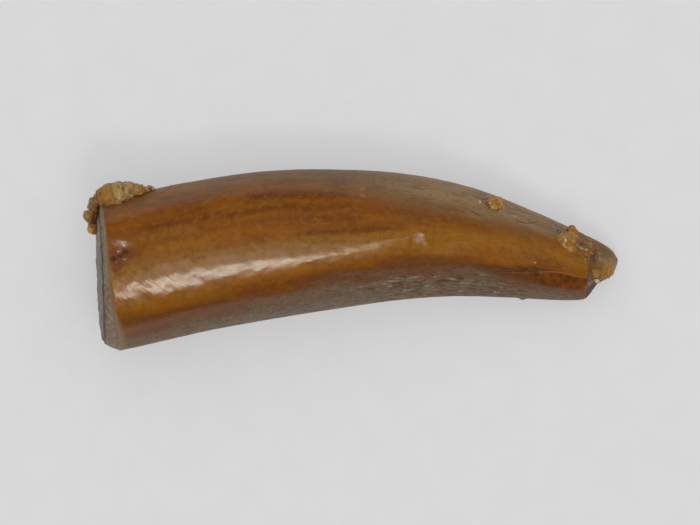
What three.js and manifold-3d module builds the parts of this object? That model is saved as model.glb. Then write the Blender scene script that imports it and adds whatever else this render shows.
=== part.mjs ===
// Fossil titanosaur tooth, lying on its side: a slender, gently bent crown, broken across at the
// base and chipped at the tip, with clots of sandstone matrix still cemented to it.
// Frame: millimetres, +X from the broken base to the tip, +Y towards the convex edge, +Z up,
// origin on the resting surface under the middle of the whole piece.
import * as THREE from "three";
import { mergeVertices } from "three/addons/utils/BufferGeometryUtils.js";
import Module from "manifold-3d";

const wasm = await Module();
wasm.setup();

// ---- Driving dimensions, in millimetres ----

// The crown's outline seen from above: along the convex edge to the tip, then back along the
// concave edge. It runs on past the break at the base, which is cut off afterwards.
const CONVEX_EDGE = [
  [-8.9, 1.62], [-6.9, 2.11], [-4.9, 2.51], [-2.7, 2.82], [-0.5, 2.885], [1.7, 2.75],
  [3.8, 2.32], [5.7, 1.6], [7.2, 0.93], [7.96, 0.54], [8.27, 0.23],
];
const TIP = [8.32, -0.05];
const CONCAVE_EDGE = [
  [7.95, -0.8], [7.35, -1.13], [6.4, -1.17], [4.9, -1.09], [3.2, -1.055], [1.45, -1.175],
  [-0.4, -1.43], [-2.3, -1.73], [-4.3, -2.1], [-6.1, -2.51], [-7.9, -2.92],
];
const DEPTH_TO_WIDTH = 0.93; // the crown's oval section is a little flatter than round
const REST_FLAT_DEPTH = 0.08; // how much is worn off underneath, where the crown lies
const TIP_RISE = 0.3; // the tip curves up off the surface by this much
const TIP_RISE_FROM = 0.55; // share of the length where that rise begins

const BASE_BREAK = { at: [-7.79, -0.4, 2.1], faces: [-0.997, -0.045, 0.065] };
const TIP_CHIP = { at: [7.38, -0.3, 1.72], faces: [0.74, -0.22, 0.64] };
const CORNER_CHIP = { at: [7.7, -0.72, 0.4], faces: [0.6, -0.75, 0.28] };
const RESTING_SURFACE = { at: [0, 0, 0], faces: [0, 0, -1] };

const MATRIX_GAP = 0.05; // clearance between the crown and each clot of matrix
const RINGS = 52;
const SIDES = 40;
const CUTTER_SIZE = 40;
const GRAIN_DETAIL = 2;
const GRAIN_BUMP = 0.1; // unevenness of a grain, as a share of its radius

// ---- Materials ----

const enamel = new THREE.MeshStandardMaterial({ color: "#7c4c20", roughness: 0.28, metalness: 0 });
const sandstone = new THREE.MeshStandardMaterial({ color: "#8f6a3a", roughness: 0.8, metalness: 0 });
const amberGrain = new THREE.MeshStandardMaterial({ color: "#8a5520", roughness: 0.45, metalness: 0 });
const paleGrit = new THREE.MeshStandardMaterial({ color: "#a08a68", roughness: 0.85, metalness: 0 });

// ---- Solids and meshes ----

function solidFrom(geometry) {
  geometry.deleteAttribute("normal");
  geometry.deleteAttribute("uv");
  const merged = mergeVertices(geometry, 1e-4);
  const vertProperties = new Float32Array(merged.attributes.position.array);
  const triVerts = new Uint32Array(merged.index.array);
  return new wasm.Manifold(new wasm.Mesh({ numProp: 3, vertProperties, triVerts }));
}

function meshFrom(name, solid, material) {
  const { vertProperties, triVerts } = solid.getMesh();
  const geometry = new THREE.BufferGeometry();
  geometry.setAttribute("position", new THREE.BufferAttribute(vertProperties, 3));
  geometry.setIndex(new THREE.BufferAttribute(triVerts, 1));
  geometry.computeVertexNormals();
  const mesh = new THREE.Mesh(geometry, material);
  mesh.name = name;
  return mesh;
}

// A block that fills everything beyond a plane: "at" is a point of the plane and "faces" points
// out of the body that is cut. "clear" moves the plane outwards.
function beyond({ at, faces }, clear = 0) {
  const normal = new THREE.Vector3(...faces).normalize();
  const block = new THREE.BoxGeometry(CUTTER_SIZE, CUTTER_SIZE, CUTTER_SIZE);
  block.translate(0, 0, CUTTER_SIZE / 2 + clear);
  block.applyQuaternion(new THREE.Quaternion().setFromUnitVectors(new THREE.Vector3(0, 0, 1), normal));
  block.translate(...at);
  return solidFrom(block);
}

// ---- The crown ----

const outline = new THREE.SplineCurve(
  [...CONVEX_EDGE, TIP, ...CONCAVE_EDGE].map(([x, y]) => new THREE.Vector2(x, y)),
);

// The oval section at a share t of the crown's length: its middle, the direction across it in
// plan, half its width, half its depth and the height of its middle.
function sectionAt(t) {
  const convex = outline.getPoint(t / 2);
  const concave = outline.getPoint(1 - t / 2);
  const halfWidth = convex.distanceTo(concave) / 2;
  const halfDepth = halfWidth * DEPTH_TO_WIDTH;
  const rise = TIP_RISE * Math.max(0, (t - TIP_RISE_FROM) / (1 - TIP_RISE_FROM)) ** 2;
  return {
    middle: convex.clone().add(concave).multiplyScalar(0.5),
    across: convex.clone().sub(concave).normalize(),
    halfWidth,
    halfDepth,
    height: halfDepth - REST_FLAT_DEPTH + rise,
  };
}

// A drum of unit radius and unit length, turned on a lathe, whose rings are then fitted one by
// one to the crown's oval sections. "grown" makes the same body larger all round.
function crownBody(grown = 0) {
  const profile = [new THREE.Vector2(0, 1)];
  for (let ring = RINGS - 1; ring >= 0; ring -= 1) {
    profile.push(new THREE.Vector2(1, Math.sin((ring / RINGS) * (Math.PI / 2))));
  }
  profile.push(new THREE.Vector2(0, 0));
  const drum = new THREE.LatheGeometry(profile, SIDES);
  const place = drum.attributes.position;
  for (let i = 0; i < place.count; i += 1) {
    const { middle, across, halfWidth, halfDepth, height } = sectionAt(place.getY(i));
    const sideways = place.getX(i) * (halfWidth + grown);
    const tipGrowth = grown * place.getY(i);
    place.setXYZ(
      i,
      middle.x + across.x * sideways + tipGrowth,
      middle.y + across.y * sideways,
      height + place.getZ(i) * (halfDepth + grown),
    );
  }
  return solidFrom(drum);
}

function makeCrown(clear = 0) {
  return crownBody(clear)
    .subtract(beyond(BASE_BREAK, clear))
    .subtract(beyond(TIP_CHIP, clear))
    .subtract(beyond(CORNER_CHIP, clear))
    .subtract(beyond(RESTING_SURFACE, clear));
}

// ---- The matrix ----

// One uneven grain: a ball or oval whose skin swells and dips in a few broad waves.
function grain([x, y, z, ...radii]) {
  const [a, b = a, c = a] = radii;
  const ball = new THREE.IcosahedronGeometry(1, GRAIN_DETAIL);
  const place = ball.attributes.position;
  for (let i = 0; i < place.count; i += 1) {
    const [u, v, w] = [place.getX(i), place.getY(i), place.getZ(i)];
    const waves = Math.sin(4.1 * u + 7 * x) * Math.cos(3.7 * v + 5 * y) + Math.sin(4.6 * w + u + 3 * x);
    const swell = 1 + (GRAIN_BUMP * waves) / 2;
    place.setXYZ(i, x + a * u * swell, y + b * v * swell, z + c * w * swell);
  }
  return solidFrom(ball);
}

const crown = makeCrown();
const crownAndGap = makeCrown(MATRIX_GAP);

// A clot of matrix: its grains joined in one body, cut to sit against the crown.
function clot(name, material, grains) {
  const joined = grains.map(grain).reduce((whole, next) => whole.add(next));
  return meshFrom(name, joined.subtract(crownAndGap), material);
}

const tooth = new THREE.Group();
tooth.add(meshFrom("tooth_crown", crown, enamel));

// On the corner where the base break meets the convex edge, from the break towards the tip.
tooth.add(
  clot("matrix_corner_lump", sandstone, [
    [-7.72, 1.98, 2.65, 0.2, 0.18, 0.22],
    [-7.47, 2.1, 2.75, 0.3, 0.27, 0.34],
    [-7.16, 2.2, 2.8, 0.22, 0.2, 0.28],
    [-6.91, 2.24, 2.75, 0.27, 0.26, 0.34],
    [-6.62, 2.27, 2.7, 0.24, 0.22, 0.3],
    [-6.42, 2.24, 2.65, 0.17, 0.12, 0.2],
  ]),
  clot("matrix_corner_tail", sandstone, [
    [-6.2, 2.3, 2.6, 0.15, 0.12, 0.16],
    [-6.08, 2.32, 2.56, 0.1, 0.09, 0.12],
  ]),
);

// A chain of grains on the break itself, standing off it.
tooth.add(
  clot("matrix_base_bridge", sandstone, [
    [-7.97, 1.95, 2.5, 0.15, 0.14, 0.18],
    [-7.93, 1.72, 2.5, 0.17, 0.15, 0.22],
  ]),
  clot("matrix_base_ball", amberGrain, [
    [-8.12, 1.5, 2.5, 0.19],
    [-7.93, 1.5, 2.4, 0.13, 0.12, 0.18],
  ]),
  clot("matrix_base_nodule", sandstone, [
    [-7.97, 1.17, 2.3, 0.16, 0.12, 0.2],
    [-7.93, 1.02, 2.25, 0.14, 0.12, 0.18],
  ]),
);

// Crumbs on the flank, towards the tip.
tooth.add(
  clot("matrix_flank_crumb", sandstone, [
    [4.5, 1.9, 2.12, 0.24, 0.17, 0.15],
    [4.3, 1.88, 2.24, 0.15, 0.12, 0.1],
  ]),
  clot("matrix_flank_speck", sandstone, [[3.94, 1.98, 2.38, 0.1, 0.07, 0.09]]),
);

// The crust along the edge of the chip, with a bead standing over the convex edge.
tooth.add(
  clot("matrix_tip_cluster", sandstone, [
    [6.9, 1.05, 1.5, 0.15, 0.15, 0.17],
    [6.88, 0.84, 1.72, 0.2, 0.17, 0.2],
    [6.6, 0.78, 1.9, 0.2, 0.16, 0.18],
    [6.87, 0.55, 1.9, 0.18, 0.22, 0.2],
    [7.12, 0.56, 1.76, 0.2, 0.17, 0.2],
    [7.38, 0.48, 1.64, 0.2, 0.19, 0.22],
    [7.51, 0.27, 1.64, 0.12, 0.19, 0.2],
  ]),
);

// Grains lying on the chipped face.
tooth.add(
  clot("matrix_facet_crust", paleGrit, [
    [7.84, 0.16, 1.41, 0.16, 0.15, 0.14],
    [7.71, 0.29, 1.5, 0.13, 0.13, 0.14],
  ]),
  clot("matrix_facet_lump", sandstone, [[7.66, -0.28, 1.45, 0.16]]),
  clot("matrix_facet_bead", paleGrit, [[7.68, -0.53, 1.38, 0.11, 0.1, 0.12]]),
  clot("matrix_facet_grain", amberGrain, [[8.03, -0.24, 1.17, 0.13, 0.21, 0.14]]),
);

// Put the origin on the resting surface, under the middle of the whole piece.
const box = new THREE.Box3().setFromObject(tooth);
const middle = box.getCenter(new THREE.Vector3());
tooth.position.set(-middle.x, -middle.y, -box.min.z);

export default tooth;
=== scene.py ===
# %% [markdown]
# # A fossil sauropod tooth on a pale table
# The object is one tooth crown, sixteen millimetres long, broken across at the base and chipped
# at the tip, with clots of sandstone still cemented to it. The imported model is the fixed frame:
# it says where every piece is, and nothing here moves or resizes it. So loading it comes first.

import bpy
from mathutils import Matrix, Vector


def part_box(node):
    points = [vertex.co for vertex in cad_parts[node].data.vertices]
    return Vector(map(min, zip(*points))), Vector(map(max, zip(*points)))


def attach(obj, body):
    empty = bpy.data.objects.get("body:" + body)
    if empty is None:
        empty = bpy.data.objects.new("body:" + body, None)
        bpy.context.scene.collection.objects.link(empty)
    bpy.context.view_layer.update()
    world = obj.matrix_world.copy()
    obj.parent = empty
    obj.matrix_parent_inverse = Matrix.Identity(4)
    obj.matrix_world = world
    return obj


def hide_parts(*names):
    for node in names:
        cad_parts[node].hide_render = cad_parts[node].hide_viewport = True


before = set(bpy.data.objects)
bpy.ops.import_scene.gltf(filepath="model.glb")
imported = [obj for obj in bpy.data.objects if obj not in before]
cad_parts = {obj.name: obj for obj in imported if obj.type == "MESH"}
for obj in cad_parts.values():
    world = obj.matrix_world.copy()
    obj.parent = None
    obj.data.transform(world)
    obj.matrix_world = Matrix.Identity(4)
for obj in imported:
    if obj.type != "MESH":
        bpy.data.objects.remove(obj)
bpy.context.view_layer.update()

# %% [markdown]
# ## Units and small helpers
# Blender works in metres, which is clumsy for a thing the size of a fingernail: some modifiers
# stop at a tenth of a millimetre. So each piece is modelled with one unit for a millimetre, and
# its finished mesh is shrunk by a thousand in one go.

# %% Imports and units
import math

import bmesh
import bpy
import numpy as np
from mathutils import Vector, noise
from mathutils.bvhtree import BVHTree

MM = 0.001


def in_metres(name, mesh):
    """A finished object from a mesh that was modelled in millimetres."""
    mesh.transform(((MM, 0, 0, 0), (0, MM, 0, 0), (0, 0, MM, 0), (0, 0, 0, 1)))
    piece = bpy.data.objects.new(name, mesh)
    bpy.context.scene.collection.objects.link(piece)
    return piece


# %% [markdown]
# ## The camera
# A small find is best looked at from straight above through a long macro lens, which keeps the
# outline true: a short lens close by would make the thick base look even thicker. The view is
# 21.7 mm wide at half the height of the crown, and the camera's height follows from that.

# %% Camera
VIEW_WIDTH = 21.7
HALF_HEIGHT = 2.1
camera_data = bpy.data.cameras.new("macro_camera")
camera_data.lens = 500
camera_data.sensor_width = 36
camera_data.clip_start = 0.005
camera_data.clip_end = 5
camera = bpy.data.objects.new("macro_camera", camera_data)
camera_height = HALF_HEIGHT + VIEW_WIDTH * camera_data.lens / camera_data.sensor_width
camera.location = (0, 0, camera_height * MM)
print("camera height in mm:", round(camera_height, 1))
bpy.context.scene.collection.objects.link(camera)
bpy.context.scene.camera = camera
bpy.context.scene.view_settings.view_transform = "Standard"

# %% [markdown]
# ## The outline of the crown
# The crown is a bent, pencil-like spindle. Seen from above it has a convex edge and a concave
# edge, so two short rows of points and the tip between them say all of its bend and taper.
# These are the points that the frame's own crown was made from; a smooth curve through them
# gives any place between.

# %% Outline of the crown, in millimetres
CONVEX_EDGE = [
    (-8.9, 1.62), (-6.9, 2.11), (-4.9, 2.51), (-2.7, 2.82), (-0.5, 2.885), (1.7, 2.75),
    (3.8, 2.32), (5.7, 1.6), (7.2, 0.93), (7.96, 0.54), (8.27, 0.23),
]
TIP = (8.32, -0.05)
CONCAVE_EDGE = [
    (7.95, -0.8), (7.35, -1.13), (6.4, -1.17), (4.9, -1.09), (3.2, -1.055), (1.45, -1.175),
    (-0.4, -1.43), (-2.3, -1.73), (-4.3, -2.1), (-6.1, -2.51), (-7.9, -2.92),
]
outline = np.array([*CONVEX_EDGE, TIP, *CONCAVE_EDGE])
print("outline:", len(outline), "points")


def along_curve(points, share):
    """Points at the given shares, 0 to 1, of a smooth curve through the given points."""
    last = len(points) - 1
    place = np.clip(share, 0, 1) * last
    first = np.minimum(place.astype(int), last - 1)
    t = (place - first)[..., None]
    before, here = points[np.maximum(first - 1, 0)], points[first]
    there, after = points[first + 1], points[np.minimum(first + 2, last)]
    leave, arrive = (there - before) / 2, (after - here) / 2
    cubic = 2 * here - 2 * there + leave + arrive
    square = -3 * here + 3 * there - 2 * leave - arrive
    return cubic * t**3 + square * t**2 + leave * t + here


# %% [markdown]
# ## From an outline to a solid form
# A curve with a bevel could sweep a bent tube, but its section would stay round. Here each
# cross-section is an oval a little flatter than a circle. Its two ends lie on the two edges,
# and its underside just dips below the table, where it is worn flat. Two numbers reach every
# point of the skin: a share of the length, and an angle round the oval, measured from the
# convex edge up over the top.

# %% Skin of the crown
DEPTH_TO_WIDTH = 0.93
REST_FLAT_DEPTH = 0.08
TIP_RISE = 0.3
TIP_RISE_FROM = 0.55


def skin(share, angle):
    """Points on the smooth skin of the crown, in millimetres."""
    convex = along_curve(outline, share / 2)
    concave = along_curve(outline, 1 - share / 2)
    plan = (convex + concave) / 2 + (convex - concave) / 2 * np.cos(angle)[..., None]
    half_depth = np.linalg.norm(convex - concave, axis=-1) / 2 * DEPTH_TO_WIDTH
    rise = TIP_RISE * (np.clip(share - TIP_RISE_FROM, 0, 1) / (1 - TIP_RISE_FROM)) ** 2
    height = half_depth * (1 + np.sin(angle)) - REST_FLAT_DEPTH + rise
    return np.concatenate([plan, height[..., None]], axis=-1)


# %% [markdown]
# ## Where the base is broken off
# The break is a nearly flat face, and the enamel round it is chipped to a slant that is narrow
# on the convex side and five times as deep on the concave side. For every angle round the
# crown the skin has to start exactly where that slant begins, so the share where it does is
# found by halving an interval, for all angles at once. A low noise makes the break uneven.

# %% Noise, and places that crowd together


def rounded_noise(points, size, seed=0):
    """Smooth noise, about -1 to 1, whose lumps are the given size across."""
    flat = np.asarray(points, float).reshape(-1, 3) / size + seed * 17.31
    values = np.fromiter((noise.noise(Vector(p)) for p in flat), float, len(flat))
    return values.reshape(np.shape(points)[:-1])


def evenly(count, density):
    """Places from 0 to 1, closer together where the density function is high."""
    fine = np.linspace(0, 1, 2001)
    total = np.concatenate([[0], np.cumsum((density(fine[1:]) + density(fine[:-1])) / 2)])
    return np.interp(np.linspace(0, 1, count), total / total[-1], fine)


# %% Rim of the base break
BREAK_AT = np.array([-7.79, -0.4, 2.1])
BREAK_FACES = np.array([-0.997, -0.045, 0.065])
BREAK_FACES /= np.linalg.norm(BREAK_FACES)
SLANT_SIDE = [-0.84, -0.65, -0.45, -0.2, 0, 0.2, 0.6, 0.9]
SLANT_DEPTH = [0.50, 0.44, 0.34, 0.25, 0.20, 0.17, 0.15, 0.10]
SLANT_UNDERNEATH = 0.15
SIDES = 240
TOP_CROWDING = 0.45
HALVINGS = 30
turn = evenly(SIDES + 1, lambda x: 1 + TOP_CROWDING * np.sin(2 * math.pi * x))[:-1]
angles = 2 * math.pi * turn
ring_circle = np.stack([np.cos(angles), np.sin(angles), np.zeros(SIDES)], axis=-1)
slant_above = np.interp(ring_circle[:, 0], SLANT_SIDE, SLANT_DEPTH)
underneath = np.clip(-ring_circle[:, 1] - 0.3, 0, 0.5) * 2
slant_depth = slant_above + (SLANT_UNDERNEATH - slant_above) * underneath
break_bumps = 0.025 * rounded_noise(ring_circle, 0.55, seed=1)
break_bumps += 0.012 * rounded_noise(ring_circle, 0.16, seed=2)
low, high = np.zeros(SIDES), np.full(SIDES, 0.25)
for _ in range(HALVINGS):
    middle = (low + high) / 2
    outside = (skin(middle, angles) - BREAK_AT) @ BREAK_FACES > break_bumps - slant_depth
    low, high = np.where(outside, middle, low), np.where(outside, high, middle)
rim_share = high
print("the skin starts at", round(rim_share.min(), 3), "to", round(rim_share.max(), 3), "of the length")

# %% [markdown]
# ## The grid of the crown
# Rings of points run from the rim to the tip. They crowd together at the rim and over the last
# three millimetres, where the detail is finest, and the points of each ring crowd a little over
# the top, the side that is looked at most. Noise is looked up on a copy of the skin that is
# wrapped round a straight drum, so that it can be stretched along the crown.

# %% Grid of points, and which way the skin faces
RINGS = 330
WRAP_RADIUS = 2.3
RIM_CROWDING = 2.5
TIP_CROWDING = 1.6
TIP_CROWDING_FROM = 0.8


def ring_density(at):
    """How closely the rings stand at a share of the way from the rim to the tip."""
    near_tip = 1 + np.exp((TIP_CROWDING_FROM - at) * 60)
    return 1 + RIM_CROWDING * np.exp(-at / 0.01) + TIP_CROWDING / near_tip


run = evenly(RINGS, ring_density)[:-1]
share = rim_share + (1 - rim_share) * run[:, None]
around = np.broadcast_to(angles, share.shape)
base_skin = skin(share, around)


def outward(points):
    """Unit normals of a grid whose columns close up into rings."""
    lengthways = np.gradient(points, axis=0)
    sideways = np.roll(points, -1, axis=1) - np.roll(points, 1, axis=1)
    normal = np.cross(sideways, lengthways)
    return normal / np.maximum(np.linalg.norm(normal, axis=-1, keepdims=True), 1e-12)


faces_out = outward(base_skin)
if (faces_out[RINGS // 2, SIDES // 4] @ (0, 0, 1)) < 0:
    faces_out = -faces_out
steps = np.linalg.norm(np.diff(base_skin, axis=0), axis=-1)
from_rim = np.concatenate([np.zeros((1, SIDES)), np.cumsum(steps, axis=0)])
x, y = base_skin[..., 0], base_skin[..., 1]
on_top = np.clip(faces_out[..., 2] * 4, 0, 1)
wrap = np.stack([x, WRAP_RADIUS * np.cos(around), WRAP_RADIUS * np.sin(around)], axis=-1)
print("grid:", share.shape, "points")
print("spacing along the crown:", np.round(steps.min(), 3), "to", np.round(steps.max(), 3), "mm")

# %% [markdown]
# ## Relief of the enamel
# Enamel is smooth but never perfect. Long shallow flutes run down the crown, slanting wrinkles
# cross them near the base, and the concave flank has flaked. Each is a small height in
# millimetres that is added along the normal, so the outline and the highlights both show it.

# %% Flutes, dimples and wrinkles
FLUTES = 0.016
DIMPLES = 0.0055
WRINKLES = 0.015
WRINKLE_SLANT = 0.75


def ramp_up(value, start, end):
    """0 below start, 1 above end and a smooth rise between them."""
    t = np.clip((value - start) / (end - start), 0, 1)
    return t * t * (3 - 2 * t)


def dot_at(centre_x, centre_y, size_x, size_y=None, turned=0.0):
    """A soft round or oval spot on the upper side, 1 in the middle and 0 outside."""
    size_y = size_y or size_x
    dx, dy = x - centre_x, y - centre_y
    c, s = math.cos(turned), math.sin(turned)
    return np.exp(-((dx * c + dy * s) / size_x) ** 2 - ((dy * c - dx * s) / size_y) ** 2) * on_top


flutes = FLUTES * rounded_noise(wrap * (0.12, 1, 1), 0.55, seed=3)
dimples = DIMPLES * rounded_noise(wrap * (0.8, 1, 1), 0.2, seed=4)
across_wrinkles = x * math.cos(WRINKLE_SLANT) + wrap[..., 1] * math.sin(WRINKLE_SLANT)
wrinkle_zone = ramp_up(-x, 3.6, 6.0) * (0.4 + 0.6 * ramp_up(from_rim, 0.2, 0.8))
wrinkle_at = np.stack([across_wrinkles, wrap[..., 1] * 0.35, wrap[..., 2] * 0.35], axis=-1)
wrinkles = WRINKLES * rounded_noise(wrinkle_at, 0.3, seed=5)
relief = flutes + dimples + wrinkles * wrinkle_zone

# %% [markdown]
# ## The ridge along the crown
# A low ridge starts a third of the way along the crown, just on the concave side of its middle,
# and climbs towards the convex edge as it nears the tip. It could be a bump in the finish, but a
# long highlight runs along it, and only a true surface bends a highlight well, so it is in the
# mesh. Its upper slope is broad and soft. Its lower slope falls off steeply from the crest,
# which keeps the highlight thin, and turns blunt over its second half. Places along it are in
# millimetres. Places across it are the cosine of the angle: 1 on the convex edge and -1 on the
# concave one.

# %% Crest line, height and slopes of the ridge
flank = np.cos(around)
CREST_ALONG = [-2.9, -1.55, -0.3, 0.95, 2.2, 3.1, 4.0, 5.3, 6.5]
CREST_ACROSS = [-0.16, -0.13, -0.075, -0.035, 0.075, 0.14, 0.18, 0.26, 0.40]
CREST_HEIGHT = [0.0, 0.028, 0.066, 0.125, 0.13, 0.092, 0.082, 0.065, 0.0]
CREST_ROUNDING = [0.25, 0.25, 0.17, 0.11, 0.06, 0.06, 0.06, 0.06, 0.06]
STEEP_REACH = 0.22
BLUNT_REACH = 0.12
UPPER_REACH = 0.36
crest = np.interp(x, CREST_ALONG, CREST_ACROSS)
crest_height = np.interp(x, CREST_ALONG, CREST_HEIGHT)
crest_rounding = np.interp(x, CREST_ALONG, CREST_ROUNDING)
off_crest = flank - crest
steep_slope = np.exp(-(np.hypot(off_crest, crest_rounding) - crest_rounding) / STEEP_REACH)
blunt_slope = np.exp(-((off_crest / BLUNT_REACH) ** 2))
lower_slope = steep_slope + (blunt_slope - steep_slope) * ramp_up(x, 1.6, 3.2)
upper_slope = np.exp(-((off_crest / UPPER_REACH) ** 2))
relief += crest_height * np.where(off_crest < 0, lower_slope, upper_slope) * on_top
print("highest relief in mm:", round(float(relief.max()), 3))

# %% A flatter strip near the base, and a low swelling above it
STRIP_DEPTH = 0.011
SWELLING = 0.022
relief -= STRIP_DEPTH * np.exp(-(((flank + 0.27) / 0.13) ** 2)) * ramp_up(-x, 3.6, 5.4) * on_top
relief += SWELLING * dot_at(-5.75, -0.02, 0.42, 0.17, 0.1)

# %% [markdown]
# ## Streaks of the stain
# The iron crept along the growth lines of the enamel, so its darkest and lightest streaks run
# down the crown. The golden streaks that follow the crest towards the tip are partly painted
# sheen as well. The main ones are listed one by one, each with the millimetres where it starts
# and ends, how far round it lies there, its half width and its strength. They only tint the
# enamel, and fade at both ends.

# %% Dark and golden streaks
DARK_STREAKS = [
    (-6.1, -3.2, 0.77, 0.75, 0.05, 0.5), (-3.6, 0.3, 0.66, 0.63, 0.065, 0.75),
    (-6.8, -1.2, 0.50, 0.49, 0.055, 0.6), (-4.3, -2.9, 0.50, 0.49, 0.07, 0.7),
    (-1.6, 0.7, 0.29, 0.30, 0.07, 0.35), (-3.4, -2.2, 0.11, 0.10, 0.05, 0.6),
    (-1.8, 1.9, 0.10, 0.13, 0.045, 0.6), (-7.0, -3.2, -0.67, -0.70, 0.06, 0.7),
    (-3.8, 0.6, -0.60, -0.50, 0.10, 0.5), (0.6, 4.4, -0.46, -0.42, 0.08, 0.65),
    (1.0, 4.6, 0.42, 0.34, 0.11, 0.35), (3.6, 6.0, 0.50, 0.48, 0.06, 0.4),
    (-5.6, -4.0, 0.62, 0.62, 0.05, 0.3), (-2.2, 0.4, 0.46, 0.44, 0.05, 0.35),
    (4.9, 6.9, -0.02, 0.06, 0.09, 0.35),
]
GOLDEN_STREAKS = [
    (-7.0, -4.4, 0.38, 0.36, 0.06, 0.5), (-6.4, -3.8, 0.22, 0.18, 0.07, 0.35),
    (-7.5, -3.6, -0.46, -0.45, 0.08, 0.6), (-4.2, 1.2, -0.42, -0.34, 0.07, 0.45),
    (-0.5, 3.4, -0.22, -0.16, 0.09, 0.5), (-0.8, 2.2, -0.02, 0.06, 0.05, 0.45),
    # These two follow the crest towards the tip and are partly painted sheen.
    (1.4, 4.8, 0.04, 0.12, 0.13, 0.45), (4.2, 7.2, 0.16, 0.26, 0.15, 0.45),
    (-4.6, -1.6, 0.57, 0.57, 0.05, 0.35),
]
streak_wobble = 0.025 * rounded_noise(wrap * (0.4, 1, 1), 0.5, seed=21)


def drawn_streaks(streaks):
    """Strength of a set of streaks at every point of the skin."""
    strongest = np.zeros(x.shape)
    for start, end, side_at_start, side_at_end, half_width, strength in streaks:
        line = side_at_start + (side_at_end - side_at_start) * (x - start) / (end - start) + streak_wobble
        fade = ramp_up(x, start, start + 0.7) * ramp_up(-x, -end, 0.7 - end)
        strongest = np.maximum(strongest, strength * fade * np.exp(-(((flank - line) / half_width) ** 2)))
    return strongest * on_top


dark_streaks = drawn_streaks(DARK_STREAKS)
golden_streaks = drawn_streaks(GOLDEN_STREAKS)
print("streaks:", len(DARK_STREAKS), "dark,", len(GOLDEN_STREAKS), "golden")

# %% [markdown]
# ## Damage on the crown
# The damage is listed place by place, as a preparator would note it on a drawing: a pit with a
# raised lip near the base, a spall past the middle, a flaked strip on the concave flank with a
# small knob on its edge, and a crack that runs from there to the tip. Fine lines are kept as
# distances: the finish draws a line from its distance much sharper than the mesh could.

# %% Lines and spots on the upper side
FAR = 9.0


def line_distance(points):
    """Distance, seen from above, of every point to a line through the given points."""
    place = np.stack([x, y], axis=-1)
    nearest = np.full(x.shape, FAR)
    for start, end in zip(np.array(points[:-1]), np.array(points[1:])):
        along = end - start
        t = np.clip(((place - start) @ along) / (along @ along), 0, 1)
        nearest = np.minimum(nearest, np.linalg.norm(place - start - t[..., None] * along, axis=-1))
    return np.where(faces_out[..., 2] > 0.02, nearest, FAR)


def spots_at(*placed):
    """Soft spots added up, 1 at most. Each is a strength, then a place and sizes for dot_at."""
    return np.clip(sum(strength * dot_at(*spot) for strength, *spot in placed), 0, 1)


# %% Pit with a raised lip, and the spall
LIP_HEIGHT = 0.08
PIT_DEPTH = 0.06
PIT_ROUGHNESS = 0.07
SPALL_DEPTH = 0.018
pit_floor = rounded_noise(base_skin, 0.11, seed=19)
pit = spots_at((1, -7.02, 0.26, 0.42, 0.2, 0.12), (0.9, -7.19, -0.12, 0.13, 0.24))
lip = dot_at(-7.06, 0.6, 0.21, 0.075, -0.1) * np.clip(1 + pit_floor, 0.3, 1.2)
spall = dot_at(2.10, 0.76, 0.17, 0.16) + 0.6 * dot_at(2.31, 0.58, 0.08)
pit_relief = LIP_HEIGHT * lip - PIT_DEPTH * pit + PIT_ROUGHNESS * pit * pit_floor
relief += pit_relief - SPALL_DEPTH * ramp_up(spall, 0.3, 0.6)
print("pit, deepest in mm:", round(float(pit_relief.min()), 3))

# %% Flaked strip, knob and pores of the flanks
FLAKE_DEPTH = 0.022
KNOB_HEIGHT = 0.06
PORE_DEPTH = 0.012
flaked_zone = ramp_up(x, 0.5, 1.6) * ramp_up(-x, -6.4, -4.6) * ramp_up(-flank, 0.5, 0.64) * on_top
flakes = rounded_noise(wrap * (0.4, 1.3, 1.3), 0.13, seed=6)
flakes += 0.5 * rounded_noise(wrap * (0.5, 1, 1), 0.07, seed=7)
flaking = ramp_up(flakes, 0.1, 0.4)
relief -= FLAKE_DEPTH * flaked_zone * flaking
knob = np.exp(-(((x - 5.37) / 0.09) ** 2) - ((flank + 1) / 0.06) ** 2)
knob *= ramp_up(faces_out[..., 2], -0.5, -0.1)
relief += KNOB_HEIGHT * knob
flank_pores = ramp_up(rounded_noise(wrap * (0.7, 1, 1), 0.1, seed=8), 0.3, 0.6)
relief -= PORE_DEPTH * flank_pores * ramp_up(-flank, 0.6, 0.8)
print("points in the flaked strip:", int((flaked_zone > 0.5).sum()))

# %% Small marks: pale chips, dark pits, slivers, film and grit
# Some of these pale chips, such as the pale-green one by the pit, are painted glints.
PALE_CHIPS = [
    (-6.93, 0.1, 0.06), (3.1, 1.58, 0.05), (5.72, 0.0, 0.055), (4.74, 1.7, 0.045),
    (4.98, 1.72, 0.05), (5.25, 1.52, 0.045), (5.08, 1.43, 0.05), (6.28, 1.1, 0.035),
    (6.38, 1.06, 0.03), (6.52, 1.02, 0.035), (6.45, 1.12, 0.025), (6.58, 0.93, 0.03),
    (4.5, -0.93, 0.05), (5.9, -0.84, 0.04), (7.30, 0.09, 0.035), (7.33, 0.25, 0.03),
    (7.285, 0.02, 0.025), (7.18, 0.3, 0.025),
]
PALE_SLIVERS = [
    (1.3, -0.56, 0.26, 0.028, -0.04), (1.95, -0.45, 0.28, 0.022, 0.18), (1.22, -0.73, 0.14, 0.035, 0.35),
    (2.38, -0.72, 0.09, 0.028, 0.5), (2.55, -0.78, 0.07, 0.025, 0.6), (3.15, -0.5, 0.16, 0.028, 0.05),
    (4.12, -0.38, 0.14, 0.024, 0.1), (2.62, -0.43, 0.1, 0.02, 0.1), (0.75, -0.62, 0.1, 0.025, 0.2),
    (0.3, -0.72, 0.12, 0.022, 0.1), (3.7, -0.62, 0.1, 0.022, 0.3), (1.7, -0.86, 0.1, 0.022, 0.2),
]
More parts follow.
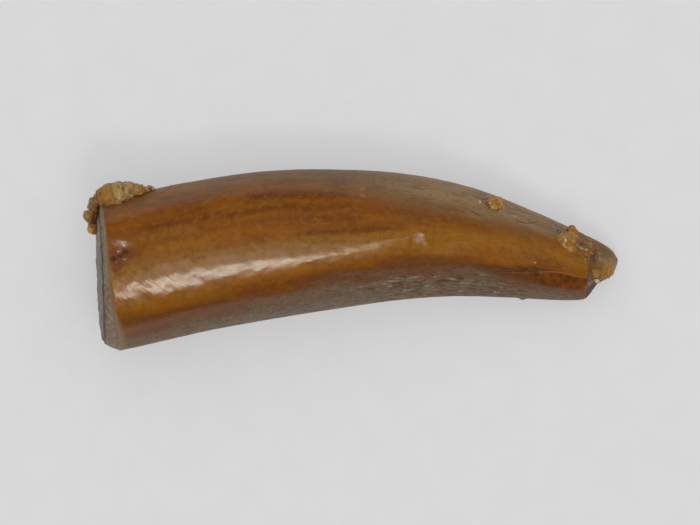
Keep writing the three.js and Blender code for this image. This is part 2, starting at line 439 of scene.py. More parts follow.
DARK_PITS = [
    (-6.93, 0.34, 0.15, 0.08), (-7.28, 0.12, 0.10, 0.10), (-7.08, 0.20, 0.08, 0.05),
    (2.0, 0.76, 0.045, 0.06), (6.47, 0.95, 0.09, 0.06), (6.63, 0.58, 0.05, 0.05),
    (4.34, -0.93, 0.19, 0.05), (3.4, -0.49, 0.18, 0.05), (1.55, -0.66, 0.1, 0.04),
    (2.85, -0.58, 0.24, 0.05), (0.6, -0.8, 0.22, 0.035), (5.8, -0.4, 0.14, 0.06),
    (2.1, -0.62, 0.2, 0.04),
]
CHIP_HEIGHT = 0.02
SLIVER_HEIGHT = 0.025
DARK_PIT_DEPTH = 0.02
FILM_BUMPS = 0.009
GRIT_BUMPS = 0.02
pale_marks = ramp_up(sum(dot_at(a, b, size) for a, b, size in PALE_CHIPS), 0.2, 0.8)
slivers = sum(dot_at(a, b, long, wide, turned) for a, b, long, wide, turned in PALE_SLIVERS)
dark_marks = sum(dot_at(a, b, long, wide) for a, b, long, wide in DARK_PITS)
relief += CHIP_HEIGHT * pale_marks + SLIVER_HEIGHT * slivers - DARK_PIT_DEPTH * dark_marks
film = spots_at((1.2, 7.18, 0.22, 0.3, 0.3), (0.8, 6.85, 0.3, 0.2, 0.16))
relief += FILM_BUMPS * film * rounded_noise(wrap, 0.14, seed=18)
edge_grit = spots_at((1, 6.42, 1.06, 0.24, 0.12, -0.45), (0.6, 3.98, 2.0, 0.26, 0.09, -0.2))
relief += GRIT_BUMPS * edge_grit * rounded_noise(wrap, 0.06, seed=20)
print("marks:", len(PALE_CHIPS), "chips,", len(PALE_SLIVERS), "slivers,", len(DARK_PITS), "dark pits")

# %% The crack that ends at the tip, and the hairlines
CRACK = np.array([
    (3.1, 0.02), (4.19, -0.22), (4.81, -0.29), (5.89, -0.27), (6.51, -0.31), (6.98, -0.42), (7.5, -0.5),
])
HAIRLINES = [
    [(3.5, 1.66), (3.72, 1.6), (3.98, 1.45)],
    [(5.1, 1.32), (5.28, 1.24), (5.46, 1.22), (5.7, 1.23), (5.84, 1.27)],
    [(3.83, 2.2), (4.0, 2.12), (4.22, 2.07)],
    [(3.88, 2.06), (4.05, 1.98), (4.26, 1.98)],
    [(4.0, 2.25), (4.14, 2.14), (4.27, 2.12)],
]
CRACK_WIDTH = 0.028
HAIRLINE_WIDTH = 0.03
HAIRLINE_DEPTH = 0.015
crack_line = np.interp(x, CRACK[:, 0], CRACK[:, 1]) + 0.018 * rounded_noise(wrap * (1, 0, 0), 0.12, seed=9)
crack_distance = np.where(on_top > 0.2, y - crack_line, FAR)
crack_open = ramp_up(x, 3.6, 4.6) * ramp_up(-x, -7.6, -7.45)
crack_depth = 0.03 - 0.018 * ramp_up(x, 5.4, 6.2)
relief -= crack_depth * crack_open * np.exp(-((crack_distance / CRACK_WIDTH) ** 2))
relief -= 0.004 * crack_open * ramp_up(-crack_distance, 0, 0.03) * ramp_up(flank, -0.9, -0.6)
# A dark band along the crack: painted shade.
crack_shade = np.exp(-(((crack_distance - 0.03) / 0.17) ** 2)) * ramp_up(x, 3.7, 4.7)
crack_shade *= ramp_up(-x, -6.7, -5.7)
hairline = np.min([line_distance(points) for points in HAIRLINES], axis=0)
curl = line_distance([(0.5, 2.32), (0.36, 2.28), (0.31, 2.17), (0.36, 2.06), (0.5, 2.02)])
relief -= HAIRLINE_DEPTH * np.exp(-((hairline / HAIRLINE_WIDTH) ** 2))
print("crack runs from", CRACK[0, 0], "to", CRACK[-1, 0], "mm;", len(HAIRLINES), "hairlines")

# %% [markdown]
# ## The chipped tip
# The outermost shell of the tip has burst off. Its edge is an almost straight line across the
# crown that steps back along a ridge on the convex side, and beyond it the surface lies a tenth
# of a millimetre lower. A shell is a lower relief with a steep edge. The corner on the concave
# side is broken off in flat breaks that meet in a notch. A flat break is made by moving every
# point that stands beyond its plane back onto it.

# %% Burst shell
SHELL_EDGE = [
    (7.25, -1.4), (7.28, -1.19), (7.37, -0.87), (7.38, -0.5), (7.43, 0.0), (7.5, 0.35), (7.44, 0.44),
    (7.28, 0.5), (7.1, 0.55), (6.99, 0.7), (6.97, 1.0), (6.95, 1.5),
]
EDGE_UNDERNEATH = 7.3
CORE_BUMPS = 0.016
edge_at, edge_across = np.array(SHELL_EDGE).T
edge_wobble = 0.02 * rounded_noise(wrap * (0, 1, 1), 0.2, seed=10)
side_of_edge = np.sign(x - edge_wobble - np.interp(y, edge_across, edge_at))
past_edge = side_of_edge * np.minimum(line_distance(SHELL_EDGE), 1)
past_edge = np.where(faces_out[..., 2] > 0.02, past_edge, x - EDGE_UNDERNEATH)
burst = ramp_up(past_edge, -0.015, 0.025)
gritty = burst * ramp_up(y, 0.25, 0.55) * ramp_up(-x, -7.95, -7.5)
core_grey = spots_at(
    (1, 7.9, 0.1, 0.22, 0.12, -0.45), (0.5, 7.62, 0.04, 0.12, 0.1), (0.7, 8.2, -0.14, 0.05, 0.2),
)
core_glow = spots_at((1, 8.05, -0.19, 0.19, 0.30), (0.4, 8.2, 0.1, 0.1, 0.2), (0.7, 7.92, -0.46, 0.18, 0.14))
core_dark = spots_at((1, 7.6, 0.36, 0.09, 0.2), (0.9, 7.6, 0.08, 0.09, 0.14), (0.6, 7.5, -0.3, 0.06, 0.2))
shell_depth = 0.02 + 0.1 * ramp_up(0.7 - y, 0.0, 0.4) * ramp_up(faces_out[..., 2], -0.1, 0.3)
shell_depth *= ramp_up(8.3 - x, 0.0, 0.9)
relief -= burst * shell_depth
relief += burst * CORE_BUMPS * rounded_noise(base_skin, 0.16, seed=11)
crust_bumps = 0.02 * rounded_noise(base_skin, 0.12, seed=15)
crust_bumps += 0.016 * rounded_noise(base_skin, 0.06, seed=16)
relief += gritty * crust_bumps
relief *= ramp_up(1 - run, 0, 0.004)[:, None] * 0.999 + 0.001
crown_points = base_skin + faces_out * relief[..., None]
print("points on the bare core:", int((burst > 0.5).sum()))

# %% Planes that break off the corner
ENAMEL_BREAK = {"at": (7.41, -0.394, 1.72), "faces": (0.947, -0.218, 0.237)}
STEEP_BREAK = {"at": (7.565, -0.84, 0.6), "faces": (0.769, -0.639, -0.02)}
FLAT_BREAK = {"at": (7.83, -0.60, 0.2), "faces": (0.486, -0.874, 0.08)}
CORE_BREAK = {"at": (7.387, -0.394, 1.3), "faces": (-0.63, -0.777, 0.1)}


def beyond_plane(points, plane):
    """How far each point stands beyond a plane, and the way the plane faces."""
    faces = np.array(plane["faces"]) / np.linalg.norm(plane["faces"])
    return (points - plane["at"]) @ faces, np.broadcast_to(faces, points.shape)


def either(one, other):
    """Beyond one plane or the other: the one that is passed furthest counts."""
    return np.maximum(one[0], other[0]), np.where((one[0] > other[0])[..., None], one[1], other[1])


def both(one, other):
    """Beyond one plane and the other: the one that is passed least counts."""
    return np.minimum(one[0], other[0]), np.where((one[0] < other[0])[..., None], one[1], other[1])


# %% Broken corner
PASSES = 3
corner_bumps = 0.018 * rounded_noise(base_skin, 0.16, seed=12)
corner_bumps += 0.008 * rounded_noise(base_skin, 0.06, seed=17)
for step in range(PASSES):
    inwards = either(beyond_plane(crown_points, ENAMEL_BREAK), beyond_plane(crown_points, STEEP_BREAK))
    upwards = either(beyond_plane(crown_points, FLAT_BREAK), beyond_plane(crown_points, CORE_BREAK))
    beyond_corner, corner_faces = both(inwards, upwards)
    moved = np.clip(beyond_corner + corner_bumps, 0, None)
    if step == 0:
        corner_break = ramp_up(beyond_corner + corner_bumps, -0.005, 0.02)
        on_enamel_break = corner_break * (inwards[0] < upwards[0])
    crown_points -= corner_faces * moved[..., None]
print("points moved onto the broken corner:", int((corner_break > 0.5).sum()))

# %% [markdown]
# ## The rim and the face of the base break
# The face shows how the tooth grew: a ring of enamel that slants in from the rim, a sunken line
# where it met the dentine, and the dentine itself. A boolean cut would leave one flat face with
# nothing in it to bend. So it is a fan of smaller and smaller rings, each a shrunken copy of the
# rim, moved in or out along the face's normal by a profile.

# %% Rounded rim and rings of the break
RIM_ROUNDING = 0.09
rounding = np.clip(1 - from_rim / RIM_ROUNDING, 0, 1) ** 2 * RIM_ROUNDING / 2
crown_points -= faces_out * rounding[..., None]
FACE_RINGS = 60
rim = crown_points[0]
heart = rim.mean(axis=0)
reach = 1 - evenly(FACE_RINGS + 1, lambda x: 1 + 6 * np.exp(-(((x - 0.09) / 0.07) ** 2)))[1:-1, None]
ENAMEL_INNER = 0.9
face_points = heart + (rim - heart) * reach[..., None]
below_face = slant_depth * reach + slant_depth.mean() * (1 - reach)
SEAM_DROP = 0.06
slant = (below_face - SEAM_DROP) * np.clip((1 - reach) / (1 - ENAMEL_INNER), 0, 1) ** 0.85
dentine_rise = SEAM_DROP * ramp_up(ENAMEL_INNER - reach, 0.01, 0.13)
seam = -0.045 * np.exp(-(((reach - ENAMEL_INNER + 0.015) / 0.017) ** 2))
growth_lines = 0.005 * np.sin(reach * 60)
coarse = 0.035 * rounded_noise(face_points, 0.4, seed=13)
fine = 0.022 * rounded_noise(face_points, 0.12, seed=14)
swell = -0.03 * np.clip((reach - 0.95) / 0.05, 0, 1) ** 2
face_height = (dentine_rise + seam + growth_lines + coarse + fine) * ramp_up(1 - reach, 0, 0.05)
face_height = face_height + swell + slant
face_points = face_points + BREAK_FACES * face_height[..., None]
heart = heart + BREAK_FACES * (slant_depth.mean() - 0.03)
print("break in mm, across and up:", np.round(np.ptp(rim, axis=0)[1:], 2))

# %% [markdown]
# ## One closed mesh
# The rings of the face, the rings of the skin and the two end points are joined in one closed
# skin. The piece rests on its worn strip, so nothing may reach below the table: points that
# would are lifted to it. What the finish needs to know about each point is stored on the mesh
# as named attributes.

# %% A mesh from rings, and what is stored on it


def store(mesh, name, values):
    """Keeps one number, or one vector, per point on the mesh under a name."""
    values = np.asarray(values, np.float32)
    kind, field = ("FLOAT", "value") if values.ndim == 1 else ("FLOAT_VECTOR", "vector")
    mesh.attributes.new(name, kind, "POINT").data.foreach_set(field, values.ravel())


def closed_rings(rows, first_end, last_end, name):
    """A mesh from rows of rings, closed at both ends by a fan to a point."""
    count, sides = rows.shape[:2]
    points = np.concatenate([rows.reshape(-1, 3), [first_end], [last_end]])
    a = np.arange((count - 1) * sides).reshape(count - 1, sides)
    b = np.roll(a, -1, axis=1)
    quads = np.stack([a, a + sides, b + sides, b], axis=-1).reshape(-1, 4)
    start, end = count * sides, count * sides + 1
    first = np.arange(sides)
    last = first + (count - 1) * sides
    fans = [(start, i, j) for i, j in zip(first, np.roll(first, -1))]
    fans += [(end, j, i) for i, j in zip(last, np.roll(last, -1))]
    mesh = bpy.data.meshes.new(name)
    mesh.from_pydata(points.tolist(), [], [*quads.tolist(), *[tuple(map(int, f)) for f in fans]])
    mesh.validate()
    return mesh


# %% Join the crown
rows = np.concatenate([face_points[::-1], crown_points])
tip_point = skin(np.array(1.0), np.array(0.0))
rows[..., 2] = np.maximum(rows[..., 2], 0)
crown_mesh = closed_rings(rows, heart, tip_point, "tooth_crown_enamel")


def with_face(on_skin, on_face, at_heart, at_tip):
    """One value for each point of the crown, in the mesh's order."""
    face = np.broadcast_to(on_face, (FACE_RINGS - 1, SIDES))
    return np.concatenate([face[::-1].ravel(), np.ravel(on_skin), [at_heart, at_tip]])


# %% Store places and marks for the finish
face_place = face_points - heart * (0, 1, 1)
TIP_PLACE = (8.4, 0, 0)
OFF_FACE = 2.0


def store_place(name, on_skin):
    """Stores a place vector per point: the given one on the skin, and one from the heart on the face."""
    ring_places = np.concatenate([face_place[::-1], on_skin]).reshape(-1, 3)
    store(crown_mesh, name, np.concatenate([ring_places, [heart * (1, 0, 0)], [TIP_PLACE]]))


store_place("wrap", wrap)
store_place("wrinkle_at", wrinkle_at)
store(crown_mesh, "face_reach", with_face(np.full(share.shape, OFF_FACE), reach, 0.0, OFF_FACE))
marks = {
    "dark_streaks": dark_streaks, "golden_streaks": golden_streaks, "from_rim": np.minimum(from_rim, 3),
    "pit": pit, "lip": lip, "spall": ramp_up(spall, 0.25, 0.6), "film": film, "edge_grit": edge_grit,
    "pale_marks": np.clip(pale_marks, 0, 1), "dark_marks": np.clip(dark_marks, 0, 1),
    "slivers": np.clip(slivers, 0, 1), "flaked_zone": flaked_zone, "flaking": flaked_zone * flaking,
    "crack_distance": crack_distance, "crack_open": crack_open, "crack_shade": crack_shade,
    "hairline": hairline, "curl": curl, "past_edge": past_edge, "gritty": gritty,
    "corner": on_enamel_break, "core_grey": core_grey, "core_glow": core_glow, "core_dark": core_dark,
}
on_the_face = {"crack_distance": FAR, "hairline": FAR, "curl": FAR, "past_edge": -1.0}
for mark, on_skin in marks.items():
    elsewhere = on_the_face.get(mark, 0.0)
    store(crown_mesh, mark, with_face(on_skin, elsewhere, elsewhere, on_skin[-1].mean()))
print("stored marks:", len(marks))

# %% Smooth shading, and faces that look outwards
crown_mesh.polygons.foreach_set("use_smooth", [True] * len(crown_mesh.polygons))
crown_mesh.update()
tip_faces_x = sum(p.normal.x for p in list(crown_mesh.polygons)[-SIDES:])
if tip_faces_x < 0:
    crown_mesh.flip_normals()
triangles = sum(len(p.vertices) - 2 for p in crown_mesh.polygons)
print("crown:", len(crown_mesh.vertices), "points,", triangles, "triangles")

# %% [markdown]
# ## Putting the crown where the frame has it
# The outline above is in the maker's drawing, and the frame has its origin under the middle of
# the whole piece. The two differ by a hair, which is read off the frame's own crown.

# %% Place the crown
cad_low, cad_high = (np.array(corner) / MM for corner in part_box("tooth_crown"))
drawn_low, drawn_high = base_skin.reshape(-1, 3).min(axis=0), base_skin.reshape(-1, 3).max(axis=0)
shift_across = (cad_low[1] + cad_high[1] - drawn_low[1] - drawn_high[1]) / 2
shift = np.array([cad_high[0] - drawn_high[0], shift_across, 0])
crown_mesh.transform(((1, 0, 0, shift[0]), (0, 1, 0, shift[1]), (0, 0, 1, 0), (0, 0, 0, 1)))
crown = in_metres("tooth_crown_enamel", crown_mesh)
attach(crown, "root")
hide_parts("tooth_crown")
print("shift in mm:", np.round(shift, 4))

# %% [markdown]
# ## Writing a finish as a recipe
# A finish is a tree of nodes. A few small helpers keep the recipes short: one adds a node and
# fills its sockets, one does arithmetic, one multiplies masks, and two lay one colour over
# another where a mask, or several together, say so.

# %% Node helpers


def new_finish(name):
    """An empty material and its tree, with one shader joined to the output."""
    material = bpy.data.materials.new(name)
    material.use_nodes = True
    tree = material.node_tree
    shader = next(n for n in tree.nodes if n.type == "BSDF_PRINCIPLED")
    return material, tree, shader


def fill(tree, socket, value):
    """Joins a socket to another node's output, or sets it to a plain value."""
    if isinstance(value, bpy.types.NodeSocket):
        tree.links.new(value, socket)
    else:
        socket.default_value = value


def add(tree, kind, sockets=None, **settings):
    """A new node. Sockets are given by name or by number."""
    made = tree.nodes.new("ShaderNode" + kind)
    for key, value in settings.items():
        setattr(made, key, value)
    for key, value in (sockets or {}).items():
        fill(tree, made.inputs[key], value)
    return made


def calc(tree, operation, first, second=0.0, third=0.0):
    """One step of arithmetic on plain numbers or on other nodes' outputs."""
    return add(tree, "Math", {0: first, 1: second, 2: third}, operation=operation).outputs[0]


# %% Masks, colours laid over each other, noise and stored values


def times(tree, *masks):
    """Masks multiplied together."""
    total = masks[0]
    for mask in masks[1:]:
        total = calc(tree, "MULTIPLY", total, mask)
    return total


def rise_between(tree, value, start, end):
    """0 below start, 1 above end, smooth between; start may be the larger."""
    flip = start > end
    sockets = {"Value": value, "From Min": min(start, end), "From Max": max(start, end)}
    sockets.update({"To Min": float(flip), "To Max": float(not flip)})
    return add(tree, "MapRange", sockets, interpolation_type="SMOOTHSTEP").outputs[0]


def blend(tree, mask, under, over):
    """The colour under, covered by the colour over where the mask is 1."""
    under, over = ((*c, 1.0) if isinstance(c, tuple) else c for c in (under, over))
    made = add(tree, "Mix", {0: mask, 6: under, 7: over}, data_type="RGBA")
    return made.outputs[2]


def cover(tree, under, over, *masks):
    """The colour under, covered by the colour over where all the masks are high."""
    return blend(tree, times(tree, *masks), under, over)


def speckle(tree, place, scale, detail, stretch=(1, 1, 1), roughness=0.55):
    """Noise, about 0 to 1, on a place vector that may be stretched first."""
    moved = add(tree, "VectorMath", {0: place, 1: stretch}, operation="MULTIPLY").outputs[0]
    sockets = {"Vector": moved, "Scale": scale, "Detail": detail, "Roughness": roughness}
    return add(tree, "TexNoise", sockets).outputs["Fac"]


def stored(tree, name, output="Fac"):
    """What was stored on the mesh under a name."""
    return add(tree, "Attribute", attribute_name=name).outputs[output]


def ramp_along(tree, length, stops):
    """A number that changes along the crown, through (millimetres, value) stops."""
    value = stops[0][1]
    for (start, low_value), (end, high_value) in zip(stops, stops[1:]):
        step = rise_between(tree, length, start, end)
        value = calc(tree, "MULTIPLY_ADD", step, high_value - low_value, value)
    return value


# %% [markdown]
# ## The amber ground
# Millions of years in iron-rich sand stained the enamel amber, unevenly. A painted texture could
# show that, but it would have a seam somewhere and blur close up. So the ground colour comes from
# noise that is stretched a long way down the crown, on the stored place vector, which closes up
# round the crown. All colours are in linear light. Each step below begins with its own few, and
# masks mix them.

# %% Amber with russet and brown streaks
AMBER = (0.308, 0.098, 0.005)
BROWN_AMBER = (0.256, 0.083, 0.008)
RUSSET = (0.246, 0.074, 0.011)
UMBER = (0.130, 0.043, 0.010)


def amber_ground(tree, wrap_at, length, side):
    """Amber in two shades, with russet streaks on its convex half and a few brown ones."""
    broad = speckle(tree, wrap_at, 1.7, 3.0, (0.22, 1, 1))
    streaks = speckle(tree, wrap_at, 3.2, 4.0, (0.13, 1, 1), 0.6)
    colour = blend(tree, rise_between(tree, broad, 0.40, 0.62), AMBER, BROWN_AMBER)
    convex_half = times(tree, rise_between(tree, side, 0.05, 0.32), rise_between(tree, length, 5.0, 1.0))
    colour = cover(tree, colour, RUSSET, convex_half, rise_between(tree, streaks, 0.34, 0.60), 0.5)
    strength = calc(tree, "MULTIPLY_ADD", convex_half, 0.12, 0.15)
    return cover(tree, colour, UMBER, rise_between(tree, streaks, 0.52, 0.74), strength)


# %% [markdown]
# ## The honey band, partly painted sheen, and the placed streaks
# A paler band runs from base to tip. It keeps near the middle at first, drifts to the convex side
# near the tip, and turns from honey to a stronger gold on the way. It is partly the enamel's own
# paler tone and partly painted light: near the base a painted sheen just above the highlight, and
# towards the tip a painted glow, where more light comes through the thinner crown. The streaks
# that are listed above get their colours here.

# %% Honey band, partly painted sheen and glow, and placed streaks
# HONEY is partly a painted sheen just above the highlight, and GLOWING a painted glow.
HONEY_SHEEN_BAND = [(-7.2, 0.0), (-3.5, -0.04), (0.0, -0.10), (2.5, -0.02), (4.6, 0.10), (6.4, 0.18), (7.4, 0.10)]
HONEY = (0.285, 0.137, 0.023)
GLOWING = (0.318, 0.127, 0.011)
STREAK_GOLD = (0.345, 0.150, 0.012)
STREAK_BROWN = (0.135, 0.036, 0.009)


def honey_and_streaks(tree, wrap_at, length, side, mottle, colour):
    """The colour with the honey band, partly painted sheen and glow, and the placed streaks over it."""
    cloud = speckle(tree, wrap_at, 1.7, 4.0, (0.6, 1, 1))
    away = calc(tree, "ABSOLUTE", calc(tree, "SUBTRACT", side, ramp_along(tree, length, HONEY_SHEEN_BAND)))
    band_and_sheen_colour = blend(tree, rise_between(tree, length, -1.0, 3.0), HONEY, GLOWING)
    cloudy = calc(tree, "MULTIPLY_ADD", cloud, 0.8, 0.35)
    colour = cover(tree, colour, band_and_sheen_colour, rise_between(tree, away, 0.24, 0.03), cloudy)
    cloudy = calc(tree, "MULTIPLY_ADD", cloud, 1.2, 0.35)
    colour = cover(tree, colour, STREAK_GOLD, stored(tree, "golden_streaks"), cloudy)
    patchy = calc(tree, "MULTIPLY_ADD", rise_between(tree, mottle, 0.34, 0.56), 0.5, 0.6)
    return cover(tree, colour, STREAK_BROWN, stored(tree, "dark_streaks"), patchy)


# %% [markdown]
# ## Mottling
# The stain is never flat. One noise alone would look like cloud, so patches, growth lines that
# cross the crown and fine specks break it up at three sizes. Just before the burst shell a thin
# film of cement, gold and brown, lies on the enamel.

# %% Mottling, growth lines, specks and film
MOTTLE_HONEY = (0.35, 0.155, 0.025)
SPECK_BROWN = (0.13, 0.05, 0.012)
SPECK_PALE = (0.36, 0.19, 0.05)
FILM_GOLD = (0.33, 0.165, 0.035)
FILM_BROWN = (0.16, 0.070, 0.014)


def mottled(tree, wrap_at, mottle, colour):
    """The colour broken up at three sizes, with the film of cement over it."""
    growth = speckle(tree, wrap_at, 5.0, 3.0, (1.3, 0.3, 0.3), 0.6)
    specks = speckle(tree, wrap_at, 15.0, 3.0, (0.8, 1, 1), 0.7)
    colour = cover(tree, colour, UMBER, rise_between(tree, mottle, 0.50, 0.68), 0.40)
    colour = cover(tree, colour, MOTTLE_HONEY, rise_between(tree, mottle, 0.48, 0.32), 0.34)
    colour = cover(tree, colour, UMBER, rise_between(tree, growth, 0.52, 0.68), 0.22)
    colour = cover(tree, colour, SPECK_BROWN, rise_between(tree, specks, 0.52, 0.72), 0.30)
    colour = cover(tree, colour, SPECK_PALE, rise_between(tree, specks, 0.46, 0.28), 0.20)
    film_colour = blend(tree, rise_between(tree, specks, 0.40, 0.62), FILM_GOLD, FILM_BROWN)
    patchy = rise_between(tree, mottle, 0.34, 0.52)
    return cover(tree, colour, film_colour, stored(tree, "film"), patchy, 0.75)


# %% The whole stain, with the painted sheen and glow of its band


def stain(tree, wrap_at, length, side):
    """The enamel's colour: the stained ground, the band with its painted sheen and glow, the streaks and the
    mottling.
    """
    mottle = speckle(tree, wrap_at, 6.5, 4.0, (0.7, 1, 1), 0.65)
    colour = amber_ground(tree, wrap_at, length, side)
    colour = honey_and_streaks(tree, wrap_at, length, side, mottle, colour)
    return mottled(tree, wrap_at, mottle, colour)


# %% [markdown]
# ## The grey flanks
# Where the crown lay against the sediment, its skin is etched and grey. On the convex flank the
# grey widens from a thin edge near the base to a broad olive band towards the tip; on the
# concave flank it is rough and speckled. The underside, worn and stained by the sediment, has
# the same skin. How far round a point lies is its stored place across: 1 on the convex edge and
# -1 on the concave one. That alone would rule a straight border, so noise makes it wander.

# %% Skin of each flank and of the underside
CONVEX_GREY = [
    (-6.7, 1.02), (-3.7, 0.93), (-1.9, 0.85), (0.0, 0.72), (1.8, 0.53), (5.0, 0.48), (6.6, 0.60),
]
CONCAVE_GREY = [
    (-7.2, 0.90), (-4.5, 0.85), (-2.0, 0.79), (0.0, 0.65), (1.8, 0.56), (3.6, 0.52), (5.0, 0.63),
    (6.4, 0.74), (7.3, 0.86),
]
FLANK_SHADE = (0.062, 0.034, 0.017)
FLANK_OLIVE = (0.225, 0.122, 0.032)
CONVEX_TAN = (0.175, 0.104, 0.044)
CONVEX_SAND = (0.325, 0.202, 0.088)
CONVEX_BROWN = (0.14, 0.062, 0.018)
CONCAVE_STONE = (0.205, 0.143, 0.078)
CONCAVE_BROWN = (0.15, 0.066, 0.018)
UNDER_TAN = (0.185, 0.115, 0.050)
UNDER_BROWN = (0.12, 0.055, 0.018)


def convex_skin(tree, length, inside, fine, patches, scratches):
    """Olive at the border of the grey, tan inside it, paler towards the tip."""
    tan = blend(tree, rise_between(tree, length, -1.0, 3.0), CONVEX_TAN, CONVEX_SAND)
    colour = blend(tree, rise_between(tree, inside, -0.05, 0.22), FLANK_OLIVE, tan)
    colour = cover(tree, colour, FLANK_SHADE, rise_between(tree, fine, 0.46, 0.68), 0.45)
    colour = cover(tree, colour, CONVEX_BROWN, rise_between(tree, patches, 0.50, 0.64), 0.42)
    return cover(tree, colour, FLANK_SHADE, rise_between(tree, scratches, 0.56, 0.68), 0.35)


def concave_skin(tree, fine, patches):
    """Stone grey with brown patches and many dark specks."""
    colour = cover(tree, CONCAVE_STONE, CONCAVE_BROWN, rise_between(tree, patches, 0.48, 0.62), 0.6)
    return cover(tree, colour, FLANK_SHADE, rise_between(tree, fine, 0.40, 0.66), 0.75)


def under_skin(tree, fine, patches, scratches):
    """Tan and brown, scratched."""
    colour = blend(tree, rise_between(tree, patches, 0.42, 0.60), UNDER_TAN, UNDER_BROWN)
    colour = cover(tree, colour, FLANK_SHADE, rise_between(tree, fine, 0.46, 0.66), 0.6)
    return cover(tree, colour, FLANK_SHADE, rise_between(tree, scratches, 0.55, 0.66), 0.5)


# %% Where the grey lies
EDGE_SHADE = (0.085, 0.048, 0.020)
HEM_BROWN = (0.150, 0.045, 0.006)


def grey_flanks(tree, wrap_at, length, side, height, colour):
    """The colour with both grey flanks and the underside over it, and how grey each point is."""
    wander = speckle(tree, wrap_at, 2.2, 4.0, (0.25, 1, 1), 0.55)
    wander = calc(tree, "MULTIPLY_ADD", wander, 0.5, -0.25)
    fine = speckle(tree, wrap_at, 13.0, 4.0, (0.6, 1, 1), 0.62)
    patches = speckle(tree, wrap_at, 3.6, 4.0, (0.4, 1, 1), 0.6)
    scratches = speckle(tree, wrap_at, 9.0, 3.0, (0.12, 1, 1), 0.6)

    near_edge = rise_between(tree, side, 0.66, 0.84)
    colour = cover(tree, colour, EDGE_SHADE, near_edge, rise_between(tree, patches, 0.46, 0.60), 0.45)
    near_edge = rise_between(tree, side, 0.70, 0.88)
    colour = cover(tree, colour, FLANK_OLIVE, near_edge, rise_between(tree, fine, 0.52, 0.38), 0.45)

    convex = calc(tree, "ADD", side, wander)
    convex = calc(tree, "SUBTRACT", convex, ramp_along(tree, length, CONVEX_GREY))
    convex_mask = times(tree, rise_between(tree, convex, -0.32, 0.20), 0.92)
    colour = blend(tree, convex_mask, colour, convex_skin(tree, length, convex, fine, patches, scratches))

    concave = calc(tree, "MULTIPLY_ADD", side, -1, wander)
    concave = calc(tree, "SUBTRACT", concave, ramp_along(tree, length, CONCAVE_GREY))
    concave_mask = times(tree, rise_between(tree, concave, -0.28, 0.22), 0.94)
    colour = cover(tree, colour, HEM_BROWN, rise_between(tree, concave, -0.36, -0.06), 0.85)
    colour = blend(tree, concave_mask, colour, concave_skin(tree, fine, patches))

    below = calc(tree, "MULTIPLY_ADD", wander, 1.2, height)
    under_mask = times(tree, rise_between(tree, below, -0.10, -0.50), 0.85)
    colour = blend(tree, under_mask, colour, under_skin(tree, fine, patches, scratches))
    return colour, calc(tree, "MAXIMUM", under_mask, calc(tree, "MAXIMUM", convex_mask, concave_mask))


# %% [markdown]
# ## The crack and the flaked strip
# Each mark on the drawing has its own colour, laid where the masks that shaped the relief say,
# so colour and relief agree. Flakes show brown hollows and pale slivers, which are crushed enamel
# and painted glints in one. The crack is a fine line with dirt in it and a band of painted shade
# along it, and below it the enamel is red-brown, where iron seeped in. Near the tip its pale edge
# is partly a painted highlight.

# %% Flaked strip, and rusty enamel below the crack
SLIVER_PALE_AND_GLINT = (0.46, 0.39, 0.31)
HOLLOW_BROWN = (0.130, 0.046, 0.016)
RUST = (0.178, 0.050, 0.007)
RUST_DARK = (0.070, 0.024, 0.009)
RUST_BRIGHT = (0.270, 0.085, 0.008)


def flaked(tree, grain, colour):
    """The colour with the brown hollows and the pale slivers, partly painted glints, of the flaked strip over
    it.
    """
    colour = cover(tree, colour, HOLLOW_BROWN, stored(tree, "flaking"), 0.85)
    # The pale slivers are crushed enamel and painted glints on the flake edges.
    sliver = rise_between(tree, grain, 0.61, 0.68)
    return cover(tree, colour, SLIVER_PALE_AND_GLINT, sliver, stored(tree, "flaked_zone"), 0.5)


def rusty(tree, wrap_at, length, crack, colour):
    """The colour with the banded red-brown enamel below the crack over it."""
    redness = times(tree, rise_between(tree, crack, 0.01, -0.03), rise_between(tree, crack, -0.75, -0.3))
    redness = times(tree, redness, rise_between(tree, length, 4.2, 6.6))
    bands = speckle(tree, wrap_at, 4.5, 4.0, (1.1, 0.4, 0.4), 0.65)
    colour = cover(tree, colour, RUST, redness, 0.8)
    colour = cover(tree, colour, RUST_DARK, redness, rise_between(tree, bands, 0.46, 0.60), 0.65)
    return cover(tree, colour, RUST_BRIGHT, redness, rise_between(tree, bands, 0.42, 0.30), 0.6)


# %% Crack and hairlines
PALE_CHIP_AND_GLINT = (0.520, 0.430, 0.330)
CRACK_SHADE_BROWN = (0.085, 0.030, 0.011)
NEAR_BLACK = (0.035, 0.018, 0.010)
CRACK_EDGE = (0.46, 0.27, 0.11)
HAIRLINE_BROWN = (0.085, 0.024, 0.008)


def fine_line(tree, distance, width):
    """1 on a line, 0 beyond its width, from a stored distance in millimetres."""
    return rise_between(tree, calc(tree, "ABSOLUTE", distance), width, width * 0.35)


